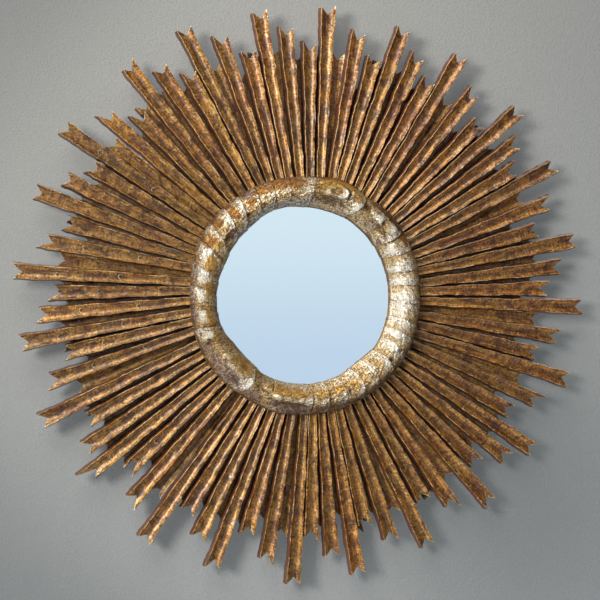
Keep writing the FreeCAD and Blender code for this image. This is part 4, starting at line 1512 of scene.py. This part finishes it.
@dataclass
class CarvedRing:
    """The wreath of overlapping scales and long leaves round the glass, in metres and degrees.

    The two lines give the ring's inner and outer radius in millimetres at angles in degrees. The painted
    shade bands along the inner lip and the outer foot hold a strength and where it begins, as a share of the
    section.
    """

    scales: tuple[Scale, ...] = tuple(Scale(*row) for row in SCALE_ROWS)
    swells: tuple[Swell, ...] = tuple(Swell(*row) for row in SWELL_ROWS)
    eyes: tuple[Eye, ...] = (Eye(16.8, 0.36, 6.0, 0.165, 3.9 * MM),)
    patches: tuple[tuple[Tone, tuple[Patch, ...]], ...] = tuple(
        (tone, tuple(Patch(*row) for row in rows)) for tone, rows in PATCH_ROWS.items())
    inner_line: tuple[tuple[float, float], ...] = (
        (0.0, 139.2), (15.0, 137.8), (30.0, 139.2), (45.0, 137.7), (60.0, 137.2), (90.0, 137.3),
        (110.0, 138.8), (125.0, 140.2), (132.0, 137.2), (138.0, 134.8), (146.0, 135.2), (153.0, 137.4),
        (175.0, 139.4), (195.0, 139.0), (206.0, 138.6), (215.0, 134.6), (228.0, 132.8), (238.0, 133.6),
        (245.0, 138.2), (255.0, 139.4), (270.0, 138.4), (284.0, 136.2), (292.0, 133.8), (301.0, 135.0),
        (312.0, 135.6), (322.0, 136.4), (330.0, 139.2), (337.0, 141.6), (350.0, 141.6), (360.0, 139.2),
    )
    outer_line: tuple[tuple[float, float], ...] = (
        (0.0, 186.8), (8.0, 188.6), (16.0, 191.5), (24.0, 189.0), (31.0, 184.0), (38.0, 187.0), (50.0, 189.0),
        (62.0, 187.0), (75.0, 185.5), (90.0, 184.0), (105.0, 185.5), (120.0, 187.5), (150.0, 187.0),
        (172.0, 186.5), (181.0, 186.8), (188.0, 188.6), (195.0, 190.5), (206.0, 188.0), (216.0, 187.5),
        (230.0, 188.5), (242.0, 187.5), (255.0, 185.0), (268.0, 183.5), (280.0, 185.0), (292.0, 188.0),
        (305.0, 189.5), (320.0, 189.5), (335.0, 189.0), (350.0, 188.2), (355.0, 187.0), (360.0, 186.8),
    )
    lip: float = 4.0 * MM
    outer_foot: float = 4.0 * MM
    skirt_radius: float = 176.0 * MM
    rebate_radius: float = 147.3 * MM
    sight_radius: float = 137.0 * MM
    section_length: float = 0.034
    base_sink: float = 1.6 * MM
    sink_draw: float = 0.75
    lumps: float = 0.55 * MM
    lump_wave: float = 0.021
    lump_lean: float = 0.09
    dimples: float = 0.35 * MM
    dimple_wave: float = 0.013
    dimple_stretch: float = 0.6
    dimple_lean: float = 0.16
    nibbles: float = 0.5 * MM
    nibble_wave: float = 0.009
    nibble_lean: float = 0.05
    nibble_turn: float = 0.0004
    nibble_power: int = 6
    patch_power: float = 1.5
    crown_power: float = 0.7
    rim_depth: float = 0.30
    rim_power: float = 0.6
    crevice_turn: float = 0.9
    # Painted shade where the ring meets the glass and the rays.
    inner_edge_shade: tuple[float, float] = (0.30, 0.975)
    outer_foot_shade: tuple[float, float] = (0.75, 0.91)
    columns_per_degree: float = 2.9
    spare_columns: int = 6
    step_share: float = 0.02
    face_steps: int = 66
    seed: int = 977
    sharp_edge: float = 38.0

    def build(self) -> None:
        """Makes the ring and dresses it."""
        low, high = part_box("carved_ring")
        glass_low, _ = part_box("mirror_glass")
        ray_low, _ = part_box("middle_rays")
        piece = make_piece("carved_wreath", [self.shell(low, high, glass_low.y, ray_low.y)], self.sharp_edge)
        piece.data.materials.append(RingGilding("ring_gilding").build())
        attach(piece, ROOT_BODY)
        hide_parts("carved_ring")
        LOG.info("%s: %d faces", piece.name, len(piece.data.polygons))

    def columns(self, share: np.ndarray) -> tuple[np.ndarray, np.ndarray, np.ndarray, np.ndarray]:
        """The angle of every grid point, and where it lies on its scale.

        The grid's columns follow the scales' slanting, bowed edges, so that a raised end is one clean
        step. Between one scale's last column and the next one's first there is only the step. A scale
        climbs as a power of its own share, and its crown is a sine over it.

        Args:
            share: 0 at the outer foot, 1 at the inner lip, for each row.

        Returns:
            Angles in degrees, the climb from 0 at a scale's low end to 1 at its raised end, the sunk
            depth of the scales, and the scale's width in degrees.
        """
        out, dome = over_section(share)
        rim = self.rim_depth + (1.0 - self.rim_depth) * dome**self.rim_power
        angles, climbs, depths, widths = [], [], [], []
        for place, scale in enumerate(self.scales):
            after = self.scales[(place + 1) % len(self.scales)]
            span = (after.start - scale.start) % 360.0
            begin = scale.start + self.border(scale, self.scales[place - 1], out, dome)
            end = scale.start + span + self.border(after, scale, out, dome)
            count = int(span * self.columns_per_degree) + self.spare_columns
            local = np.linspace(0.0, 1.0, count)[:, None]
            spread = self.step_share + (1.0 - 2.0 * self.step_share) * local
            angles.append(begin + (end - begin) * spread)
            climb = np.broadcast_to(local if scale.way > 0 else 1.0 - local, angles[-1].shape)
            climbs.append(climb)
            rise = climb**scale.flare
            crown = scale.crown * MM * (1.0 - np.sin(np.pi * climb) ** self.crown_power)
            depths.append((scale.lift * MM * (1.0 - rise) + crown) * rim)
            widths.append(np.full(angles[-1].shape, span))
        return tuple(np.concatenate(part) for part in (angles, climbs, depths, widths))

    def border(self, scale: Scale, before: Scale, out: np.ndarray, dome: np.ndarray) -> np.ndarray:
        """Shapes the edge between two scales: a slant and a bow over the section.

        Args:
            scale: the scale that begins at the edge.
            before: the one that ends there.
            out: 1 at the outer foot, -1 at the inner lip, for each row.
            dome: 0 at both of these, 1 at the crest.

        Returns:
            How far the edge lies off the scale's start, in degrees.
        """
        pointing = scale if scale.way < 0 else before
        bow = pointing.bow * (1.0 if pointing.way > 0 else -1.0)
        if before.way < 0 < scale.way:
            bow = before.tail
        return scale.slant * out + bow * (dome - 0.5)

    def features(self, clock: np.ndarray, share: np.ndarray) -> tuple[np.ndarray, np.ndarray, np.ndarray]:
        """Sums the relief of the swells and eyes.

        Args:
            clock: the angle of each point.
            share: its share of the section.

        Returns:
            The height in metres, the share of dirt and painted shade, and the share of rubbed leaf painted as
            highlight.
        """
        height, stain_and_shade, rubbed = (np.zeros_like(clock) for _ in range(3))
        for swell in self.swells:
            bell = swell.bell(clock, share, swell.power)
            height += swell.height * MM * bell
            stain_and_shade = np.maximum(stain_and_shade, swell.stain_and_shade * bell)
        for eye in self.eyes:
            carved, dirty, ridge = eye.carve(clock, share)
            height += carved
            stain_and_shade = np.maximum(stain_and_shade, dirty)
            rubbed = np.maximum(rubbed, ridge)
        return height, stain_and_shade, rubbed

    def tones(self, clock: np.ndarray, share: np.ndarray, stain_and_shade: np.ndarray,
              rubbed: np.ndarray) -> np.ndarray:
        """Works out the tones: the strongest of each one's patches.

        Dirt and painted shade also come with the swells, painted shade lies along both edges of the ring, and
        rubbed leaf is painted pale, as highlight.

        Args:
            clock: the angle of each point.
            share: its share of the section.
            stain_and_shade: the dirt and painted shade that come with the relief.
            rubbed: the rubbed leaf, painted pale as highlight, that comes with it.

        Returns:
            The share of every tone at each point.
        """
        shares = np.zeros((len(Tone), *clock.shape))
        for tone, patches in self.patches:
            for patch in patches:
                bell = patch.strength * patch.bell(clock, share, self.patch_power)
                shares[tone.value] = np.maximum(shares[tone.value], bell)
        # Painted shade along the inner lip and the outer foot.
        inner = self.inner_edge_shade[0] * smooth_step(share, self.inner_edge_shade[1], 1.0)
        outer = self.outer_foot_shade[0] * smooth_step(1.0 - share, self.outer_foot_shade[1], 1.0)
        for tone, level in ((Tone.DIRT_AND_SHADE, np.maximum(stain_and_shade, inner + outer)), (Tone.PALE_HIGHLIGHT, rubbed)):
            shares[tone.value] = np.maximum(shares[tone.value], level)
        return shares

    def roughened(self, sunk: np.ndarray, arc: np.ndarray, clock: np.ndarray, climb: np.ndarray,
                  share: np.ndarray) -> np.ndarray:
        """Adds the carver's unevenness: lumps, dimples and nibbled raised ends.

        Each is an irregular line over the angle and the share. Lumps and dimples run out towards the
        section's edges as the root of its dome, and nibbles climb with the scales.

        Args:
            sunk: how deep each point is sunk, in metres.
            arc: how far round the ring it lies, in metres.
            clock: its angle.
            climb: how far up its scale it lies.
            share: its share of the section.

        Returns:
            The new depth of each point.
        """
        rng = np.random.default_rng(self.seed)
        _, dome = over_section(share)
        lumps = sway(arc + share * self.lump_lean, rng, self.lump_wave)
        dimples = sway(arc * self.dimple_stretch - share * self.dimple_lean, rng, self.dimple_wave)
        nibbles = sway(share * self.nibble_lean + clock * self.nibble_turn, rng, self.nibble_wave)
        rough = self.lumps * (1.0 + lumps) * dome**0.5
        rough = rough + self.dimples * (1.0 + dimples) * dome**0.5
        return sunk + rough + self.nibbles * nibbles * climb**self.nibble_power + self.base_sink * dome**0.5

    def shell(self, low: Vector, high: Vector, glass_face: float, seat: float) -> Shell:
        """Carves the ring as a closed surface round the mirror's axis.

        The plain section is two quarter ellipses that meet at the crest. Each point is then sunk towards
        the middle of the section by the carving's depth there.

        Args:
            low: the ring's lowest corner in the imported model.
            high: its highest corner.
            glass_face: the y of the glass's face.
            seat: the y of the rays' faces, where the ring's rim sits.

        Returns:
            The closed shell, with its marks.
        """
        span = (high.x - low.x) / 2.0
        crest, base = -low.y, -high.y
        foot = -seat + self.outer_foot
        lip = -glass_face + self.lip
        middle = (span + self.sight_radius) / 2.0
        sweep = np.linspace(0.0, math.pi, self.face_steps)
        outward, rise = np.cos(sweep)[None, :], np.sin(sweep)[None, :]
        share = (1.0 - outward) / 2.0
        clock, climb, sunk, width = self.columns(share)
        arc = np.radians(clock) * middle
        swelling, stain_and_shade, rubbed = self.features(clock, share)
        sunk = np.clip(self.roughened(sunk, arc, clock, climb, share) - swelling, 0.0, None)
        feet = np.where(outward > 0.0, foot, lip)
        sight, outer = (np.interp(clock % 360.0, *(np.array(line) * [1.0, MM]).T)
                        for line in (self.inner_line, self.outer_line))
        reach = np.where(outward < 0.0, middle - sight, outer - middle)
        radius = middle + (reach - sunk * self.sink_draw) * outward
        height = feet + (crest - feet) * rise - sunk * rise
        radius = np.clip(radius, sight, outer)

        columns = len(clock)
        back_radius = [self.sight_radius, self.rebate_radius, self.rebate_radius, self.skirt_radius,
                       self.skirt_radius]
        back_height = [-glass_face, -glass_face, base, base, -seat]
        back_r = np.broadcast_to(back_radius, (columns, len(back_radius))).copy()
        back_r[:, 0] = radius[:, -1]
        back_h = np.broadcast_to(back_height, (columns, len(back_height)))
        blend = np.linspace(0.0, 1.0, len(back_radius) + 1)[None, :]
        back_clock = clock[:, -1:] + (clock[:, :1] - clock[:, -1:]) * blend
        radius = np.concatenate([radius, back_r, radius[:, :1]], axis=1)
        height = np.concatenate([height, back_h, np.full((columns, 1), -seat)], axis=1)
        turn = np.radians(np.concatenate([clock, back_clock], axis=1))
        points = np.stack([radius * np.sin(turn), -height, radius * np.cos(turn)], axis=-1)

        around = radius.shape[1]
        index = np.arange(columns * around).reshape(columns, around)
        wrapped = np.concatenate([index, index[:, :1]], axis=1)
        wrapped = np.concatenate([wrapped, wrapped[:1]], axis=0)
        raised = np.exp(-(1.0 - climb) * width / self.crevice_turn)
        crevice = np.exp(-climb * width / self.crevice_turn)
        drop = np.broadcast_to(sweep[None, :] * self.section_length, clock.shape)
        tones = self.tones(clock, share, stain_and_shade, rubbed)
        layers = {"wear": (climb, raised, crevice), "cast": tones[:3], "soil_shade_and_glass_light": tones[3:6],
                  "grain": (arc, drop, tones[Tone.PALE_HIGHLIGHT.value])}
        fields = {label: np.zeros((columns, around, 3)) for label in layers}
        for label, values in layers.items():
            fields[label][:, :self.face_steps] = np.stack(tuple(values), axis=-1)
        # The lip's inner side, close to the glass, is all dirt and painted shade: the dark line where the
        # ring meets the glass.
        fields["soil_shade_and_glass_light"][:, self.face_steps:self.face_steps + 2, 0] = 1.0
        marks = {label: values.reshape(-1, 3) for label, values in fields.items()}
        return Shell(points.reshape(-1, 3), grid_faces(wrapped), marks)


# Glass, back and hanger


@dataclass
class GlassAndBack:
    """The glass, everything behind it and the hanger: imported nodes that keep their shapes."""

    def build(self) -> None:
        """Dresses the nodes."""
        zinc = DullMetal("zinc_hardware", tint(176, 174, 166), tint(112, 104, 90), 0.32).build()
        raw = PlainWood("bare_softwood", tint(190, 150, 104), tint(138, 98, 60)).build()
        finishes = {
            "mirror_glass": MirrorGlass("silvered_glass").build(),
            "backing_card": PlainWood("grey_card", tint(142, 132, 114), tint(112, 102, 86), 0.85).build(),
            "retaining_hoop": raw,
            "spacer_ring": raw,
            "back_board": PlainWood("stained_board", tint(112, 76, 44), tint(64, 40, 22)).build(),
            "back_cover": PlainWood("brown_hardboard", tint(104, 76, 50), tint(78, 54, 34), 0.6).build(),
            "ring_screws": zinc,
            "cover_screws": zinc,
            "hanger_screws": zinc,
            "hanger_strap": zinc,
            "hanger_ring": zinc,
        }
        for node, material in finishes.items():
            dress_node(node, material)


# Stage


@dataclass(frozen=True)
class Lamp:
    """A soft square lamp that faces the mirror."""

    name: str
    place: tuple[float, float, float]
    size: float
    strength: float
    colour: tuple[float, float, float]

    def build(self) -> None:
        """Adds the lamp."""
        data = bpy.data.lights.new(self.name, "AREA")
        data.size = self.size
        data.energy = self.strength
        data.color = self.colour
        lamp = bpy.data.objects.new(self.name, data)
        lamp.location = self.place
        lamp.rotation_euler = (-Vector(self.place)).to_track_quat("-Z", "Y").to_euler()
        bpy.context.scene.collection.objects.link(lamp)


@dataclass
class Studio:
    """Backdrop, floor, light and camera, in metres and degrees.

    The backdrop's levels are painted light and shade: shares of its brightness at its left, its right,
    its corners, its left corners and one soft shade, a painted shadow to the lower right of the mirror.
    Each fall holds the two distances between which such a level sets in.
    """

    azimuth: float = -10.0
    distance: float = 2.6
    aim_depth: float = -0.030
    focal_pixels: float = 1645.6
    picture: float = 600.0
    sensor: float = 36.0
    aim_pixel: tuple[float, float] = (304.0, 295.5)
    backdrop_size: float = 6.0
    backdrop_gap: float = 0.0006
    floor_drop: float = 1.6
    # Painted light: the backdrop runs from a warmer top colour to a bluish lower one.
    backdrop: Colour = tint(146, 144, 139)
    backdrop_low: Colour = tint(142, 144, 144)
    backdrop_mottle: Colour = tint(140, 140, 138)
    backdrop_grain: Colour = tint(112, 112, 110)
    backdrop_relief: float = 1.6 * MM
    left_level: float = 0.82
    left_fall: tuple[float, float] = (-0.55, 0.0)
    right_level: float = 0.95
    right_fall: tuple[float, float] = (-0.1, 0.55)
    corner_level: float = 0.84
    corner_fall: tuple[float, float] = (0.42, 0.70)
    left_corner_level: float = 0.66
    left_corner_fall: tuple[float, float] = (0.58, 0.94)
    shade_level: float = 0.58
    shade_fall: tuple[float, float] = (0.04, 0.34)
    shade_place: tuple[float, float, float] = (0.34, 0.0, -0.30)
    # Painted light: the backdrop glows faintly bluish, which lifts its shadows.
    backdrop_glow: float = 0.10
    glow: Colour = (0.82, 0.94, 1.0, 1.0)
    clear_reach: float = 0.012
    floor: Colour = tint(214, 213, 210)
    floor_mottle: Colour = tint(196, 195, 192)
    sky: Colour = (0.72, 0.88, 0.965, 1.0)
    sky_low: Colour = (0.56, 0.71, 0.88, 1.0)
    sky_height: float = 0.056
    sky_middle: tuple[float, float, float] = (0.1736, -0.9848, 0.0)
    sky_cosines: tuple[float, float] = (0.955, 0.985)
    dim: Colour = (0.072, 0.056, 0.042, 1.0)
    even: Colour = (0.95, 0.93, 0.92, 1.0)
    even_strength: float = 0.115
    plain: Colour = tint(222, 222, 220)
    lamps: tuple[Lamp, ...] = (
        Lamp("main_lamp", (-2.2, -2.65, 0.75), 0.95, 109.0, (1.0, 0.985, 0.955)),
        Lamp("upper_lamp", (-1.1, -1.8, 2.4), 2.0, 64.0, (1.0, 0.985, 0.96)),
        Lamp("back_fill", (0.9, 2.6, 1.2), 1.6, 54.0, (1.0, 1.0, 1.0)),
    )

    def camera(self) -> None:
        """Places the camera: its direction, distance, focal length and shift."""
        turn = math.radians(self.azimuth)
        back = Vector((math.sin(turn), -math.cos(turn), 0.0))
        data = bpy.data.cameras.new("front_camera")
        data.sensor_width = self.sensor
        data.lens = self.focal_pixels * self.sensor / self.picture
        middle = self.picture / 2.0
        data.shift_x = (middle - self.aim_pixel[0]) / self.picture
        data.shift_y = (self.aim_pixel[1] - middle) / self.picture
        camera = bpy.data.objects.new("front_camera", data)
        camera.location = Vector((0.0, self.aim_depth, 0.0)) + back * self.distance
        camera.rotation_euler = (-back).to_track_quat("-Z", "Y").to_euler()
        bpy.context.scene.collection.objects.link(camera)
        bpy.context.scene.camera = camera

    def sheet(self, name: str, corners: list[tuple[float, float, float]],
              material: bpy.types.Material) -> None:
        """Adds one flat four-cornered part of the stage.

        Args:
            name: its name.
            corners: its corners in order.
            material: its finish.
        """
        mesh = bpy.data.meshes.new(name)
        mesh.from_pydata(corners, [], [(0, 1, 2, 3)])
        mesh.materials.append(material)
        made = bpy.data.objects.new(name, mesh)
        bpy.context.scene.collection.objects.link(made)

    def backdrop_colour(self, paint: Finish, place: bpy.types.NodeSocket,
                        skin: Term) -> bpy.types.NodeSocket:
        """Mixes the backdrop's colour: a painted fall of light, soft levels of painted light and shade,
        mottle and grain.

        Args:
            paint: the backdrop's finish.
            place: the point of the surface.
            skin: its fine grain.

        Returns:
            The colour.
        """
        parts = paint.node("ShaderNodeSeparateXYZ", inputs={0: place})
        across, upright = Term(paint.tree, parts.outputs[0]), Term(paint.tree, parts.outputs[2])
        fall = paint.band(upright + across * -0.3, -0.55, 0.55, 1.0, 0.0)
        level = paint.band(across, *self.right_fall, 1.0, self.right_level)
        level = level * paint.band(paint.measure("LENGTH", place), *self.corner_fall, 1.0, self.corner_level)
        level = level * paint.band(across, *self.left_fall, self.left_level, 1.0)
        to_left = upright.size() - across
        level = level * paint.band(to_left, *self.left_corner_fall, 1.0, self.left_corner_level)
        # Painted shadow to the lower right of the mirror.
        aside = paint.measure("DISTANCE", place, self.shade_place)
        level = level * paint.band(aside, *self.shade_fall, self.shade_level, 1.0)
        mottle = paint.noise(place, 7.0, 5.0, 0.6)
        return paint.layered(
            paint.shaded(paint.over(fall, self.backdrop, self.backdrop_low), level),
            (paint.band(mottle, 0.35, 0.7) * 0.07, self.backdrop_mottle),
            (paint.band(skin, 0.35, 0.65) * 0.24, self.backdrop_grain))

    def surroundings(self) -> None:
        """Adds the backdrop close behind the mirror and the floor far below it.

        Seen from behind, the backdrop is clear, and it lets through light that leaves the mirror's back. Its
        faint bluish glow is painted light that lifts its shadows.
        """
        paint = Finish("backdrop_paint")
        place = paint.object_place()
        skin = paint.noise(place, 330.0, 3.0, 0.7)
        paint.set(Base_Color=self.backdrop_colour(paint, place, skin), Roughness=0.9, Specular_IOR_Level=0.1,
                  Normal=paint.relief(skin, self.backdrop_relief),
                  Emission_Color=self.glow, Emission_Strength=self.backdrop_glow)
        path = paint.node("ShaderNodeLightPath")
        shadow, diffuse, reach = (Term(paint.tree, path.outputs[label])
                                  for label in ("Is Shadow Ray", "Is Diffuse Ray", "Ray Length"))
        behind = Term(paint.tree, paint.node("ShaderNodeNewGeometry").outputs["Backfacing"])
        clear = behind.most(shadow).most(diffuse * reach.below(self.clear_reach))
        glass = paint.node("ShaderNodeBsdfTransparent").outputs[0]
        mixed = paint.node("ShaderNodeMixShader", inputs={0: clear, 1: paint.shader.outputs[0], 2: glass})
        paint.feed(paint.output.inputs["Surface"], mixed.outputs[0])
        ground = Finish("studio_floor")
        grain = ground.noise(ground.object_place(), 3.0, 3.0)
        ground.set(Base_Color=ground.over(grain * 0.15, self.floor, self.floor_mottle), Roughness=0.8)
        half, gap, foot = self.backdrop_size / 2.0, self.backdrop_gap, -self.floor_drop
        upright = [(-half, gap, foot), (half, gap, foot), (half, gap, half), (-half, gap, half)]
        level = [(-half, -half, foot), (half, -half, foot), (half, half, foot), (-half, half, foot)]
        self.sheet("backdrop", upright, paint.material)
        self.sheet("floor", level, ground.material)

    def world(self) -> None:
        """Lights the stage evenly, dims it in reflections, and puts a pale sky where the glass looks.

        The sky's share of a reflection rises from 0 to 1 between two cosines of the angle to its middle,
        and its colour runs from the lower to the upper tone with the height of the direction.
        """
        world = bpy.data.worlds.new("studio")
        world.use_nodes = True
        bpy.context.scene.world = world
        paint = Painter(world.node_tree)
        direction = paint.node("ShaderNodeTexCoord").outputs["Generated"]
        height = Term(paint.tree, paint.node("ShaderNodeSeparateXYZ", inputs={0: direction}).outputs[2])
        share = paint.band(paint.measure("DOT_PRODUCT", direction, self.sky_middle), *self.sky_cosines)
        sky = paint.over(paint.band(height, -self.sky_height, self.sky_height), self.sky_low, self.sky)
        path = paint.node("ShaderNodeLightPath")
        seen, even, plain = (paint.node("ShaderNodeBackground", inputs=inputs).outputs[0] for inputs in (
            {0: paint.over(share, self.dim, sky)}, {0: self.even, 1: self.even_strength}, {0: self.plain}))
        inner = paint.node("ShaderNodeMixShader", inputs={0: path.outputs["Is Glossy Ray"], 1: even, 2: seen})
        outer = paint.node("ShaderNodeMixShader", inputs={
            0: path.outputs["Is Camera Ray"], 1: inner.outputs[0], 2: plain})
        paint.node("ShaderNodeOutputWorld", inputs={0: outer.outputs[0]})

    def build(self) -> None:
        """Sets up the whole stage."""
        bpy.context.scene.view_settings.view_transform = "Standard"
        self.camera()
        self.surroundings()
        self.world()
        for lamp in self.lamps:
            lamp.build()
        LOG.info("stage ready")


def main() -> None:
    logging.basicConfig(level=logging.INFO, format="%(message)s")
    SunBurst().build()
    CarvedRing().build()
    GlassAndBack().build()
    Studio().build()


if __name__ == "__main__":
    main()
